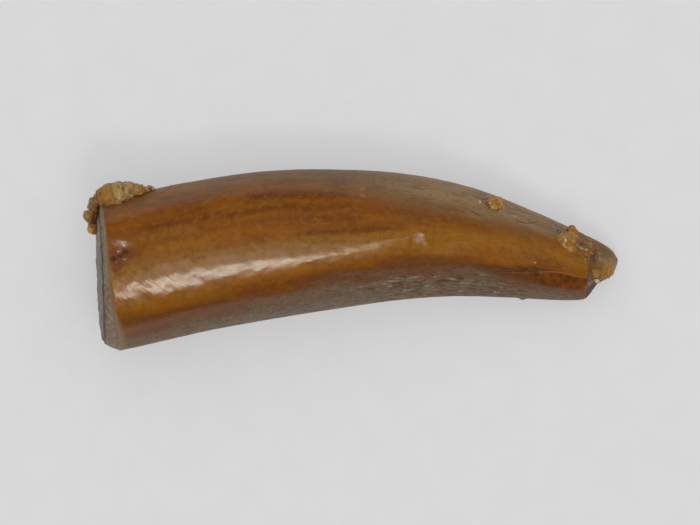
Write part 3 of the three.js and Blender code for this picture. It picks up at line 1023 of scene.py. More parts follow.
def cracked(tree, wrap_at, length, grain, colour):
    """The colour with the crack over it: painted shade, rust, dirt and a pale edge, partly painted highlight.
    """
    crack = stored(tree, "crack_distance")
    opened = stored(tree, "crack_open")
    patchy = calc(tree, "MULTIPLY_ADD", rise_between(tree, grain, 0.35, 0.55), 0.35, 0.5)
    # The dark band along the crack is painted shade.
    colour = cover(tree, colour, CRACK_SHADE_BROWN, stored(tree, "crack_shade"), patchy)
    colour = rusty(tree, wrap_at, length, crack, colour)
    dirt = times(tree, fine_line(tree, crack, 0.04), rise_between(tree, length, 6.4, 5.6))
    colour = cover(tree, colour, NEAR_BLACK, dirt, rise_between(tree, length, 4.4, 5.3), opened, 0.65)
    # Near the tip the crack's pale edge is partly a painted highlight.
    edge = times(tree, fine_line(tree, crack, 0.018), rise_between(tree, length, 5.3, 6.3))
    gaps = rise_between(tree, speckle(tree, wrap_at, 7.0, 2.0, (1, 0, 0)), 0.38, 0.54)
    return cover(tree, colour, CRACK_EDGE, edge, gaps, opened, 0.45)


def hairlines(tree, length, colour):
    """The colour with the dark hairlines and one pale curl over it."""
    line = fine_line(tree, stored(tree, "hairline"), 0.032)
    strength = calc(tree, "MULTIPLY_ADD", rise_between(tree, length, 4.0, 5.0), 0.3, 0.4)
    colour = cover(tree, colour, HAIRLINE_BROWN, line, strength)
    return cover(tree, colour, PALE_CHIP_AND_GLINT, fine_line(tree, stored(tree, "curl"), 0.035), 0.25)


# %% [markdown]
# ## Pits, chips and painted glints
# Pits are dark red inside, and the grit on the convex edge is dark with pale specks. Chips,
# slivers and the spall past the middle show pale crushed enamel. The same pale is painted light
# as well: on the lip of the pit it is a painted highlight, and the slivers and some chips are
# painted glints.
# One noise breaks up all of them but the tiny chips, so no larger mark has a clean outline.

# %% Pits, grit, and the pale chips and painted glints
PIT_RED = (0.190, 0.060, 0.024)
PIT_DARK = (0.075, 0.020, 0.010)
GRIT_DARK = (0.06, 0.025, 0.010)


def pitted(tree, spots, wrap_at, colour):
    """The colour with the red pit, the small dark pits and the edge grit over it."""
    uneven = calc(tree, "MULTIPLY_ADD", rise_between(tree, spots, 0.38, 0.54), 0.5, 0.45)
    colour = cover(tree, colour, PIT_RED, rise_between(tree, stored(tree, "pit"), 0.10, 0.5), uneven)
    dark = rise_between(tree, stored(tree, "dark_marks"), 0.25, 0.7)
    colour = cover(tree, colour, PIT_DARK, dark, 0.7)
    grit = stored(tree, "edge_grit")
    specks = rise_between(tree, speckle(tree, wrap_at, 19.0, 2.0, (1, 1, 1), 0.5), 0.55, 0.66)
    colour = cover(tree, colour, GRIT_DARK, grit, rise_between(tree, spots, 0.42, 0.55), 0.9)
    return cover(tree, colour, PALE_CHIP_AND_GLINT, grit, specks, 0.9)


def chipped(tree, spots, colour):
    """The colour with every pale mark over it, painted highlight and glints among them; the palest one counts
    where they meet.
    """
    pale = times(tree, rise_between(tree, stored(tree, "pale_marks"), 0.3, 0.8), 0.42)
    slivers = rise_between(tree, stored(tree, "slivers"), 0.25, 0.65)
    # The pale on the lip is a painted highlight; on the slivers it is partly painted glints.
    broken_up = (
        (slivers, calc(tree, "MULTIPLY_ADD", rise_between(tree, spots, 0.60, 0.42), 0.35, 0.12)),
        (stored(tree, "lip"), calc(tree, "MULTIPLY_ADD", rise_between(tree, spots, 0.6, 0.4), 0.5, 0.55)),
        (stored(tree, "spall"), calc(tree, "MULTIPLY_ADD", rise_between(tree, spots, 0.56, 0.42), 0.2, 0.26)),
    )
    for mark, strength in broken_up:
        pale = calc(tree, "MAXIMUM", pale, times(tree, mark, strength))
    return blend(tree, pale, colour, PALE_CHIP_AND_GLINT)


# %% All the marks of damage


def damage(tree, wrap_at, length, colour):
    """The colour with all the marks of damage over it, and the painted shade, highlights and glints among
    them.
    """
    grain = speckle(tree, wrap_at, 9.0, 4.0, (0.35, 1, 1))
    spots = speckle(tree, wrap_at, 11.0, 3.0, (1, 1, 1), 0.6)
    colour = flaked(tree, grain, colour)
    colour = cracked(tree, wrap_at, length, grain, colour)
    colour = hairlines(tree, length, colour)
    colour = pitted(tree, spots, wrap_at, colour)
    return chipped(tree, spots, colour)


# %% [markdown]
# ## The base break
# A grey ring of chipped enamel goes round the dentine, with a dark line of dirt in the seam
# between them. The ring's light grey is partly its own colour and partly a painted highlight
# where its slant catches the light. The dentine has faint growth rings. Each point knows its
# share of the way from the heart to the rim, so all of these follow the outline of the break.
# Just outside it the rim of the enamel is pale, over a wider strip on the concave side: partly
# wear, partly a painted highlight.

# %% Enamel ring, seam, dentine and worn rim
RING_GREY = (0.230, 0.168, 0.112)
RING_PALE = (0.31, 0.24, 0.18)
RING_DARK = (0.13, 0.088, 0.055)
DENTINE = (0.290, 0.234, 0.178)
DENTINE_DARK = (0.14, 0.105, 0.072)
DENTINE_PALE = (0.32, 0.25, 0.18)
DENTINE_GRIT = (0.12, 0.085, 0.055)
SEAM_BROWN = (0.100, 0.066, 0.042)
RIM_WEAR_AND_HIGHLIGHT = (0.29, 0.195, 0.110)


def broken_base(tree, wrap_at, side, colour):
    """The colour with the base break over it, and a mask that is 1 on the break."""
    reach = stored(tree, "face_reach")
    grain = speckle(tree, wrap_at, 7.0, 5.0)
    fine = speckle(tree, wrap_at, 16.0, 4.0, (1, 1, 1), 0.7)
    # The ring's light grey is partly a painted highlight on its slant.
    ring = blend(tree, rise_between(tree, grain, 0.48, 0.7), RING_GREY, RING_PALE)
    ring = cover(tree, ring, RING_DARK, rise_between(tree, grain, 0.46, 0.34), 0.7)

    growth = calc(tree, "MULTIPLY_ADD", grain, 5.0, calc(tree, "MULTIPLY", reach, 75.0))
    growth = rise_between(tree, calc(tree, "SINE", growth), -0.2, 1.0)
    dentine = cover(tree, DENTINE, DENTINE_DARK, rise_between(tree, grain, 0.40, 0.65), 0.6)
    dentine = cover(tree, dentine, DENTINE_PALE, growth, 0.22)
    dentine = cover(tree, dentine, DENTINE_GRIT, rise_between(tree, fine, 0.50, 0.66), 0.5)

    wobbly = calc(tree, "ADD", reach, calc(tree, "MULTIPLY_ADD", grain, 0.03, -0.015))
    face = blend(tree, rise_between(tree, wobbly, 0.88, 0.90), dentine, ring)
    seam = times(tree, rise_between(tree, wobbly, 0.815, 0.86), rise_between(tree, wobbly, 0.925, 0.895))
    face = cover(tree, face, SEAM_BROWN, seam, calc(tree, "MULTIPLY_ADD", grain, -1.0, 1.3))

    # A pale band just outside the rim: partly wear, partly a painted highlight.
    rim_band_width = calc(tree, "MULTIPLY_ADD", rise_between(tree, side, -0.45, -0.85), 0.2, 0.12)
    rim_wear_and_highlight = rise_between(tree, calc(tree, "DIVIDE", stored(tree, "from_rim"), rim_band_width), 1.0, 0.1)
    colour = cover(tree, colour, RIM_WEAR_AND_HIGHLIGHT, rim_wear_and_highlight, 0.7)
    broken = rise_between(tree, reach, 1.5, 1.1)
    return blend(tree, broken, colour, face), broken


# %% [markdown]
# ## The bare tip
# Where the shell is gone the olive-grey core shows, orange where light comes through its thin
# edge, and crusted with gold and brown cement along the convex side. The broken corner is fresh
# and grey. Along the shell's edge runs a pale line, then a dark one. Both are drawn from the
# stored distance to that edge, so they meet the step in the mesh exactly.

# %% The bare core and its crust
CORE_OLIVE = (0.225, 0.128, 0.028)
CORE_BROWN = (0.185, 0.090, 0.018)
CORE_GREY = (0.245, 0.170, 0.110)
CORE_ORANGE = (0.430, 0.205, 0.022)
CORE_SHADE = (0.130, 0.055, 0.018)
CORE_GRIT = (0.095, 0.042, 0.014)
CORE_FLANK = (0.120, 0.054, 0.023)
CRUST_BROWN = (0.125, 0.048, 0.012)
CRUST_GOLD = (0.42, 0.225, 0.048)


def bare_core(tree, cloud, grit, side):
    """The core of the tip, with its grey, glowing and dark patches and its crust."""
    core = blend(tree, rise_between(tree, cloud, 0.38, 0.62), CORE_OLIVE, CORE_BROWN)
    core = cover(tree, core, CORE_GREY, stored(tree, "core_grey"), 0.8)
    core = cover(tree, core, CORE_ORANGE, stored(tree, "core_glow"), 0.95)
    core = cover(tree, core, CORE_SHADE, stored(tree, "core_dark"), 0.75)
    core = cover(tree, core, CORE_GRIT, rise_between(tree, grit, 0.48, 0.60), 0.65)
    core = blend(tree, rise_between(tree, side, -0.50, -0.66), core, CORE_FLANK)
    crust = blend(tree, rise_between(tree, grit, 0.42, 0.62), CRUST_BROWN, CRUST_GOLD)
    return cover(tree, core, crust, stored(tree, "gritty"), 0.9)


# %% Core, broken corner and shell edge over the enamel
FRESH_GREY = (0.235, 0.175, 0.145)
FRESH_SHADE = (0.16, 0.108, 0.080)
FRESH_FLANK = (0.080, 0.036, 0.017)
STEP_SHADE = (0.085, 0.046, 0.020)
STEP_EDGE = (0.46, 0.31, 0.16)


def broken_tip(tree, wrap_at, side, colour):
    """The colour with the bare core of the tip over it, and a mask that is 1 on the core."""
    past = stored(tree, "past_edge")
    corner = stored(tree, "corner")
    cloud = speckle(tree, wrap_at, 3.2, 4.0)
    grit = speckle(tree, wrap_at, 7.0, 5.0, (1, 1, 1), 0.75)
    fresh = blend(tree, rise_between(tree, cloud, 0.40, 0.62), FRESH_GREY, FRESH_SHADE)
    fresh = blend(tree, rise_between(tree, side, -0.60, -0.72), fresh, FRESH_FLANK)
    core = blend(tree, corner, bare_core(tree, cloud, grit, side), fresh)
    core_mask = calc(tree, "MAXIMUM", rise_between(tree, past, 0.0, 0.02), corner)
    colour = blend(tree, core_mask, colour, core)
    shadow = fine_line(tree, calc(tree, "ADD", past, -0.04), 0.04)
    colour = cover(tree, colour, STEP_SHADE, shadow, 0.45)
    return cover(tree, colour, STEP_EDGE, fine_line(tree, past, 0.03), 0.30), core_mask


# %% [markdown]
# ## The enamel, put together
# One finish covers the crown. The stain, with the painted sheen of its band, and the flanks come
# first; the marks of damage are laid over them one by one. Fossil enamel is dense mineral, so it
# is glossy, with a little light passing in and coming out again as a warm glow: that is real
# scattering, a fraction of a millimetre deep. Gloss falls where the skin is etched or curves away
# at its edges. The bump only adds what is too small for the mesh: etching, and fine slanting
# strokes near the base.

# %% Gloss and small relief
GLOSSY = 0.2
ETCHED = 0.56
BROKEN = 0.62


def dullness(tree, wrap_at, grey, edges, broken):
    """Roughness: glossy, duller where the skin is grey, flaked or at an edge, dull on a break."""
    rough = calc(tree, "MULTIPLY_ADD", grey, ETCHED - GLOSSY, GLOSSY)
    rough = calc(tree, "ADD", rough, calc(tree, "MULTIPLY", stored(tree, "flaking"), 0.12))
    rough = calc(tree, "MAXIMUM", rough, calc(tree, "MULTIPLY_ADD", edges, 0.4, GLOSSY))
    patchy = speckle(tree, wrap_at, 4.0, 4.0, (0.6, 1, 1), 0.65)
    rough = calc(tree, "MULTIPLY_ADD", calc(tree, "SUBTRACT", patchy, 0.5), 0.3, rough)
    return add(tree, "Mix", {0: broken, 2: rough, 3: BROKEN}, data_type="FLOAT").outputs[0]


def small_relief(tree, wrap_at, length, grey, edges, broken):
    """A bumped normal: etching, the grain of the breaks, and the slanting strokes."""
    fine = speckle(tree, wrap_at, 22.0, 3.0, (0.5, 1, 1))
    etched = calc(tree, "MAXIMUM", grey, calc(tree, "MULTIPLY", edges, 0.7))
    depth = calc(tree, "MULTIPLY_ADD", etched, 0.010, 0.0012)
    depth = calc(tree, "MULTIPLY", calc(tree, "MULTIPLY_ADD", broken, 0.018, depth), fine)
    strokes = speckle(tree, stored(tree, "wrinkle_at", "Vector"), 5.2, 2.0, (1, 0.6, 0.6), 0.55)
    stroke_depth = calc(tree, "MULTIPLY_ADD", rise_between(tree, length, -2.2, -5.2), 0.007, 0.0015)
    near_base = rise_between(tree, length, -5.2, -6.4)
    stroke_depth = calc(tree, "MULTIPLY_ADD", near_base, 0.009, stroke_depth)
    depth = calc(tree, "MULTIPLY_ADD", strokes, stroke_depth, depth)
    return add(tree, "Bump", {"Height": calc(tree, "MULTIPLY", depth, MM), "Distance": 1.0}).outputs[0]


# %% Enamel finish


def make_enamel():
    """The finish of the whole crown."""
    material, tree, shader = new_finish("fossil_enamel")
    wrap_at = stored(tree, "wrap", "Vector")
    length, side, height = add(tree, "SeparateXYZ", {0: wrap_at}).outputs
    side = calc(tree, "DIVIDE", side, WRAP_RADIUS)
    height = calc(tree, "DIVIDE", height, WRAP_RADIUS)
    colour = stain(tree, wrap_at, length, side)
    colour, grey = grey_flanks(tree, wrap_at, length, side, height, colour)
    colour = damage(tree, wrap_at, length, colour)
    colour, on_tip = broken_tip(tree, wrap_at, side, colour)
    colour, on_base = broken_base(tree, wrap_at, side, colour)
    broken = calc(tree, "MAXIMUM", on_base, calc(tree, "MULTIPLY", on_tip, 0.55))
    edges = rise_between(tree, calc(tree, "ABSOLUTE", side), 0.62, 0.84)
    rough = dullness(tree, wrap_at, grey, edges, broken)
    bumped = small_relief(tree, wrap_at, length, grey, edges, broken)
    tree.links.new(colour, shader.inputs["Base Color"])
    tree.links.new(rough, shader.inputs["Roughness"])
    tree.links.new(bumped, shader.inputs["Normal"])
    shader.inputs["IOR"].default_value = 1.6
    shader.inputs["Subsurface Weight"].default_value = 0.2
    shader.inputs["Subsurface Radius"].default_value = (1.0, 0.45, 0.15)
    shader.inputs["Subsurface Scale"].default_value = 0.3 * MM
    print("enamel:", len(tree.nodes), "nodes")
    return material


crown_mesh.materials.append(make_enamel())

# %% [markdown]
# ## Grains of sand
# The clots are sandstone: sand grains in a brown cement. A plain ball would look like an egg, so
# each grain is a ball that a few random flat faces have been cut on, then swollen and dented by
# a low noise, as wind and water leave quartz. The random numbers come from a seeded source, so
# the clots are the same every run.

# %% One angular grain
FLAT_FACES = 5
DENTS = 0.12


def uneven_grain(centre, radii, rng):
    """Points and faces of one angular grain."""
    ball = bmesh.new()
    bmesh.ops.create_icosphere(ball, subdivisions=3, radius=1)
    points = np.array([v.co for v in ball.verts])
    faces = [[v.index for v in f.verts] for f in ball.faces]
    ball.free()
    for _ in range(FLAT_FACES):
        way = rng.normal(size=3)
        way /= np.linalg.norm(way)
        points -= np.outer(np.clip(points @ way - rng.uniform(0.83, 0.97), 0, None), way)
    points *= 1 + DENTS * rounded_noise(points + rng.uniform(0, 50), 0.8)[:, None]
    return points * radii + centre, faces


# %% [markdown]
# ## A clot of sandstone
# Each clot starts from a short list of its main grains, each given a place and named by colour.
# Finer sand is then strewn over them. A voxel remesh melts all of it into one closed skin, the
# way cement fills the gaps, and a fine noise roughens it. Each point of the skin remembers the
# colour of the grain it belongs to, and how close it is to the seam between two grains.

# %% Strewn sand, and grains melted together
BURIED = 0.93


def strewn_sand(stones, count, sizes, tints, rng):
    """Small grains on the skins of the main grains."""
    areas = np.array([(s[3] * s[4] * s[5]) ** (2 / 3) for s in stones])
    sand = []
    for _ in range(count):
        cx, cy, cz, rx, ry, rz, _colour = stones[rng.choice(len(stones), p=areas / areas.sum())]
        way = rng.normal(size=3)
        way /= np.linalg.norm(way)
        size = rng.uniform(*sizes)
        middle = np.array((cx, cy, cz)) + way * (rx, ry, rz) * BURIED
        sand.append((*middle, *(size * rng.uniform(0.8, 1.25, 3)), str(rng.choice(tints))))
    return sand


def fused(name, grains, voxel, smoothing, rng):
    """One closed mesh made of all the grains, melted together."""
    points, faces, start = [], [], 0
    for *centre_and_radii, _colour in grains:
        grain_points, grain_faces = uneven_grain(centre_and_radii[:3], centre_and_radii[3:], rng)
        points.append(grain_points)
        faces += [[i + start for i in face] for face in grain_faces]
        start += len(grain_points)
    heap = bpy.data.meshes.new(name + "_heap")
    heap.from_pydata(np.concatenate(points).tolist(), [], faces)
    holder = bpy.data.objects.new(name + "_heap", heap)
    bpy.context.scene.collection.objects.link(holder)
    melt = holder.modifiers.new("melt", "REMESH")
    melt.mode = "VOXEL"
    melt.voxel_size = voxel
    soften = holder.modifiers.new("soften", "SMOOTH")
    soften.factor = 0.5
    soften.iterations = smoothing
    melted = holder.evaluated_get(bpy.context.evaluated_depsgraph_get())
    made = bpy.data.meshes.new_from_object(melted)
    bpy.data.objects.remove(holder)
    bpy.data.meshes.remove(heap)
    made.name = name
    return made


# %% A finished clot
# cream_and_glint is a pale grain; the cream grains set high on a clot are painted glints.
GRAIN_COLOURS = {
    "amber": (0.52, 0.255, 0.045), "gold": (0.60, 0.31, 0.045), "tan": (0.52, 0.30, 0.115),
    "lemon": (0.62, 0.44, 0.18), "pink": (0.62, 0.40, 0.24), "rust": (0.22, 0.055, 0.018),
    "umber": (0.24, 0.11, 0.035), "orange": (0.50, 0.20, 0.030), "olive": (0.29, 0.165, 0.050),
    "cream_and_glint": (0.80, 0.66, 0.46), "grey": (0.34, 0.27, 0.20),
}
CREVICE_WIDTH = 0.2
MELT_WIDTH = 0.1


def grain_map(place, grains):
    """For each point: the share that each grain has in it, and how near it is to a seam."""
    ovals = np.array([grain[:6] for grain in grains])
    nearness = np.linalg.norm((place[:, None] - ovals[:, :3]) / ovals[:, 3:], axis=-1)
    nearest = np.sort(nearness, axis=1)
    seam = 1 - ramp_up(nearest[:, 1] - nearest[:, 0], 0, CREVICE_WIDTH)
    shares = np.exp((nearest[:, :1] - nearness) / MELT_WIDTH)
    return shares / shares.sum(axis=1, keepdims=True), seam


def make_clot(
    name, node, slot, stones, sand, sizes, tints, seed, voxel=0.018, smoothing=8, shade=(1, 1, 1),
):
    """A finished clot that stands for a node of the frame."""
    rng = np.random.default_rng(seed)
    grains = stones + strewn_sand(stones, sand, sizes, tints, rng)
    mesh = fused(name, grains, voxel, smoothing, rng)
    count = len(mesh.vertices)
    place, normals = np.empty(count * 3), np.empty(count * 3)
    mesh.vertices.foreach_get("co", place)
    mesh.vertices.foreach_get("normal", normals)
    place, normals = place.reshape(-1, 3), normals.reshape(-1, 3)
    shares, seam = grain_map(place, grains)
    roughening = 0.006 * rounded_noise(place, 0.06, seed) + 0.004 * rounded_noise(place, 0.03, seed + 1)
    place = place + normals * roughening[:, None] + shift
    mesh.vertices.foreach_set("co", place.ravel())
    store(mesh, "grain_colour", shares @ np.array([GRAIN_COLOURS[grain[6]] for grain in grains]) * shade)
    store(mesh, "crevice", seam)
    mesh.polygons.foreach_set("use_smooth", [True] * len(mesh.polygons))
    mesh.update()
    mesh.materials.append(finishes[slot])
    clot = in_metres(name, mesh)
    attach(clot, "root")
    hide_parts(node)
    print(name, len(grains), "grains,", len(mesh.polygons) * 2, "triangles")


# %% [markdown]
# ## Finish of the clots
# Quartz grains let light in, so they glow and glint, while the cement between them is dull and
# brown. One recipe makes three finishes, which differ in how glossy the grains are and how much
# light goes in.

# %% Sandstone, amber grain and pale grit
MATRIX_KINDS = {
    "sandstone_matrix": {"gloss": 0.36, "glow": 0.4},
    "amber_grain": {"gloss": 0.28, "glow": 0.5},
    "pale_grit": {"gloss": 0.42, "glow": 0.4},
}
DARKENED = (0.62, 0.54, 0.42)
BLEACHED = (1.2, 1.25, 1.35)
CEMENT_BROWN = (0.130, 0.050, 0.014)


def make_matrix(name, gloss, glow):
    """Sand grains in cement. A smaller gloss number is shinier, and glow is how much light goes in."""
    material, tree, shader = new_finish(name)
    place = add(tree, "TexCoord").outputs["Object"]
    in_mm = add(tree, "VectorMath", {0: place, 1: (1 / MM,) * 3}, operation="MULTIPLY").outputs[0]
    mottle = speckle(tree, in_mm, 8.0, 4.0, (1, 1, 1), 0.6)
    fine = speckle(tree, in_mm, 26.0, 3.0)
    crevice = stored(tree, "crevice")
    grain = stored(tree, "grain_colour", "Color")
    dark = add(tree, "VectorMath", {0: grain, 1: DARKENED}, operation="MULTIPLY").outputs[0]
    light = add(tree, "VectorMath", {0: grain, 1: BLEACHED}, operation="MULTIPLY").outputs[0]
    colour = cover(tree, grain, dark, rise_between(tree, mottle, 0.50, 0.32), 0.6)
    colour = cover(tree, colour, light, rise_between(tree, fine, 0.52, 0.70), 0.5)
    colour = cover(tree, colour, CEMENT_BROWN, crevice, 0.42)
    rough = calc(tree, "MULTIPLY_ADD", fine, 0.5, gloss - 0.2)
    rough = calc(tree, "MULTIPLY_ADD", crevice, 0.3, rough)
    bump = add(tree, "Bump", {"Height": calc(tree, "MULTIPLY", fine, 0.007 * MM), "Distance": 1.0})
    tree.links.new(colour, shader.inputs["Base Color"])
    tree.links.new(rough, shader.inputs["Roughness"])
    tree.links.new(bump.outputs[0], shader.inputs["Normal"])
    shader.inputs["IOR"].default_value = 1.54
    shader.inputs["Subsurface Weight"].default_value = glow
    shader.inputs["Subsurface Radius"].default_value = (1.0, 0.55, 0.25)
    shader.inputs["Subsurface Scale"].default_value = 0.12 * MM
    return material


finishes = {name: make_matrix(name, **numbers) for name, numbers in MATRIX_KINDS.items()}
print("finishes of the clots:", *finishes)

# %% [markdown]
# ## The lump on the corner
# The biggest clot sits where the base break meets the convex edge. A smooth amber grain, about
# two thirds of a millimetre across, takes the half next to the break. A lemon-coloured one joins
# it, and the rest is fine, tan and pinkish sand that tails off along the edge of the crown.

# %% Corner lump and its tail
corner_stones = [
    (-7.50, 2.12, 2.80, 0.34, 0.32, 0.34, "amber"), (-7.73, 2.10, 2.70, 0.16, 0.24, 0.26, "umber"),
    (-7.15, 2.24, 2.82, 0.27, 0.32, 0.32, "lemon"), (-7.40, 1.93, 2.93, 0.30, 0.13, 0.17, "orange"),
    (-6.88, 2.29, 2.80, 0.27, 0.27, 0.30, "pink"), (-6.60, 2.32, 2.76, 0.22, 0.20, 0.24, "tan"),
    (-6.44, 2.32, 2.70, 0.14, 0.11, 0.18, "tan"), (-7.14, 2.48, 2.72, 0.14, 0.12, 0.15, "tan"),
    (-6.80, 2.46, 2.72, 0.16, 0.11, 0.15, "tan"), (-7.40, 2.40, 2.70, 0.24, 0.13, 0.18, "tan"),
    # The cream grain set high on the lump is a painted glint.
    (-7.12, 2.055, 3.07, 0.06, 0.05, 0.06, "cream_and_glint"), (-7.10, 1.90, 3.04, 0.06, 0.05, 0.06, "grey"),
    (-6.98, 2.04, 2.98, 0.20, 0.10, 0.12, "tan"),
]
make_clot(
    "corner_lump", "matrix_corner_lump", "sandstone_matrix", corner_stones,
    sand=80, sizes=(0.035, 0.085), tints=("tan", "tan", "amber", "pink", "gold", "umber"),
    seed=21, smoothing=6, shade=(0.68, 0.66, 0.50),
)
tail_stones = [
    (-6.30, 2.36, 2.64, 0.08, 0.07, 0.12, "tan"), (-6.19, 2.38, 2.60, 0.09, 0.08, 0.13, "umber"),
    (-6.09, 2.35, 2.57, 0.07, 0.07, 0.10, "tan"), (-6.25, 2.28, 2.70, 0.08, 0.06, 0.09, "olive"),
]
make_clot(
    "corner_tail", "matrix_corner_tail", "sandstone_matrix", tail_stones,
    sand=8, sizes=(0.02, 0.04), tints=("tan", "umber", "pink"),
    seed=22, voxel=0.014,
)

# %% [markdown]
# ## The chain on the break
# Three small clots sit in a row on the base break: an olive bridge next to the lump, a round tan
# ball that stands out from the break, and a golden nodule. Dark red cement holds the ball.

# %% Bridge, ball and nodule
bridge_stones = [
    (-7.92, 1.95, 2.55, 0.16, 0.15, 0.22, "olive"), (-7.99, 1.80, 2.50, 0.13, 0.15, 0.20, "olive"),
    (-7.92, 1.72, 2.52, 0.14, 0.12, 0.20, "umber"), (-7.85, 1.88, 2.60, 0.12, 0.12, 0.16, "umber"),
    (-7.86, 2.02, 2.62, 0.12, 0.12, 0.16, "olive"), (-7.86, 1.70, 2.50, 0.12, 0.13, 0.18, "rust"),
]
make_clot(
    "base_bridge", "matrix_base_bridge", "sandstone_matrix", bridge_stones,
    sand=14, sizes=(0.025, 0.05), tints=("olive", "umber", "amber"),
    seed=23, voxel=0.015, smoothing=10,
)
ball_stones = [
    (-8.10, 1.51, 2.50, 0.16, 0.19, 0.20, "tan"), (-8.03, 1.40, 2.50, 0.13, 0.14, 0.18, "olive"),
    (-7.95, 1.57, 2.50, 0.12, 0.11, 0.17, "rust"), (-7.93, 1.42, 2.44, 0.12, 0.12, 0.18, "rust"),
    (-8.02, 1.62, 2.56, 0.12, 0.09, 0.14, "amber"), (-7.87, 1.54, 2.45, 0.12, 0.13, 0.18, "umber"),
    (-7.87, 1.38, 2.42, 0.12, 0.11, 0.16, "rust"),
]
make_clot(
    "base_ball", "matrix_base_ball", "amber_grain", ball_stones,
    sand=10, sizes=(0.025, 0.045), tints=("rust", "amber", "umber"),
    seed=24, voxel=0.015, smoothing=10, shade=(0.62, 0.62, 0.5),
)
nodule_stones = [
    (-7.98, 1.24, 2.36, 0.13, 0.11, 0.18, "olive"), (-8.01, 1.10, 2.30, 0.13, 0.15, 0.18, "gold"),
    (-7.91, 1.05, 2.26, 0.12, 0.13, 0.16, "umber"), (-7.87, 1.20, 2.34, 0.11, 0.13, 0.16, "umber"),
]
make_clot(
    "base_nodule", "matrix_base_nodule", "sandstone_matrix", nodule_stones,
    sand=9, sizes=(0.022, 0.04), tints=("olive", "tan", "umber"),
    seed=25, voxel=0.015, smoothing=10,
)

# %% [markdown]
# ## Crumbs on the flank
# A golden crumb and a smaller speck are stuck on the convex flank. Grains that lie on the crown
# take their height from it: a ray is dropped on the crown, and the grain is centred just above
# where it lands.

# %% How high the crown stands
ring_faces = [list(f.vertices) for f in crown_mesh.polygons if max(f.vertices) < rows.shape[0] * SIDES]
crown_height = BVHTree.FromPolygons(rows.reshape(-1, 3).tolist(), ring_faces)
RAY_START = 10


def on_crown(at_x, at_y):
    """Height of the crown's upper surface over a place in the drawing, in millimetres."""
    hit = crown_height.ray_cast(Vector((at_x, at_y, RAY_START)), Vector((0, 0, -1)))[0]
    return hit.z


def lying(at_x, at_y, radius_x, radius_y, radius_z, colour, lift=0.35):
    """A grain that lies on the crown."""
    return (at_x, at_y, on_crown(at_x, at_y) + lift * radius_z, radius_x, radius_y, radius_z, colour)


# %% Flank crumb and speck
crumb_stones = [
    lying(4.57, 1.92, 0.20, 0.19, 0.15, "gold", 0.6), lying(4.38, 1.90, 0.16, 0.17, 0.14, "amber", 0.5),
    lying(4.44, 1.76, 0.15, 0.11, 0.12, "gold", 0.6), lying(4.64, 1.78, 0.13, 0.11, 0.11, "amber", 0.5),
    lying(4.44, 2.04, 0.15, 0.10, 0.12, "amber", 0.5), lying(4.66, 2.02, 0.10, 0.09, 0.10, "orange"),
    # The umber grains round the crumb's lower left give it a dark rim there: painted shade.
    lying(4.26, 1.98, 0.10, 0.10, 0.09, "umber"), lying(4.26, 1.84, 0.09, 0.10, 0.09, "umber"),
    lying(4.36, 1.72, 0.10, 0.08, 0.08, "umber"), lying(4.54, 1.70, 0.09, 0.07, 0.08, "umber"),
    # The two cream grains set high on the crumb are painted glints.
    lying(4.34, 1.90, 0.035, 0.03, 0.05, "cream_and_glint", 3.6), lying(4.42, 1.76, 0.035, 0.03, 0.05, "cream_and_glint", 3.2),
    lying(4.16, 2.03, 0.06, 0.05, 0.05, "umber"),
]
make_clot(
    "flank_crumb", "matrix_flank_crumb", "sandstone_matrix", crumb_stones,
    sand=16, sizes=(0.02, 0.04), tints=("orange", "amber", "umber", "tan"),
    seed=26, voxel=0.014, shade=(0.78, 0.76, 0.7),
)
speck_stones = [
    lying(3.89, 2.03, 0.07, 0.05, 0.06, "umber"), lying(3.98, 1.97, 0.07, 0.06, 0.06, "orange"),
    # The cream grain on the speck is a painted glint.
    lying(4.03, 1.93, 0.05, 0.04, 0.05, "cream_and_glint", 0.8),
]
make_clot(
    "flank_speck", "matrix_flank_speck", "sandstone_matrix", speck_stones,
    sand=4, sizes=(0.015, 0.025), tints=("umber", "tan"),
    seed=27, voxel=0.01,
)

# %% [markdown]
# ## The crust at the tip
# Along the edge of the burst shell sits a knot of amber and golden grains, with one bead standing
# over the convex edge. From it a thin pale ridge of cement follows the edge of the shell. It
# is a row of small grains laid close to the line that the shell was cut to.

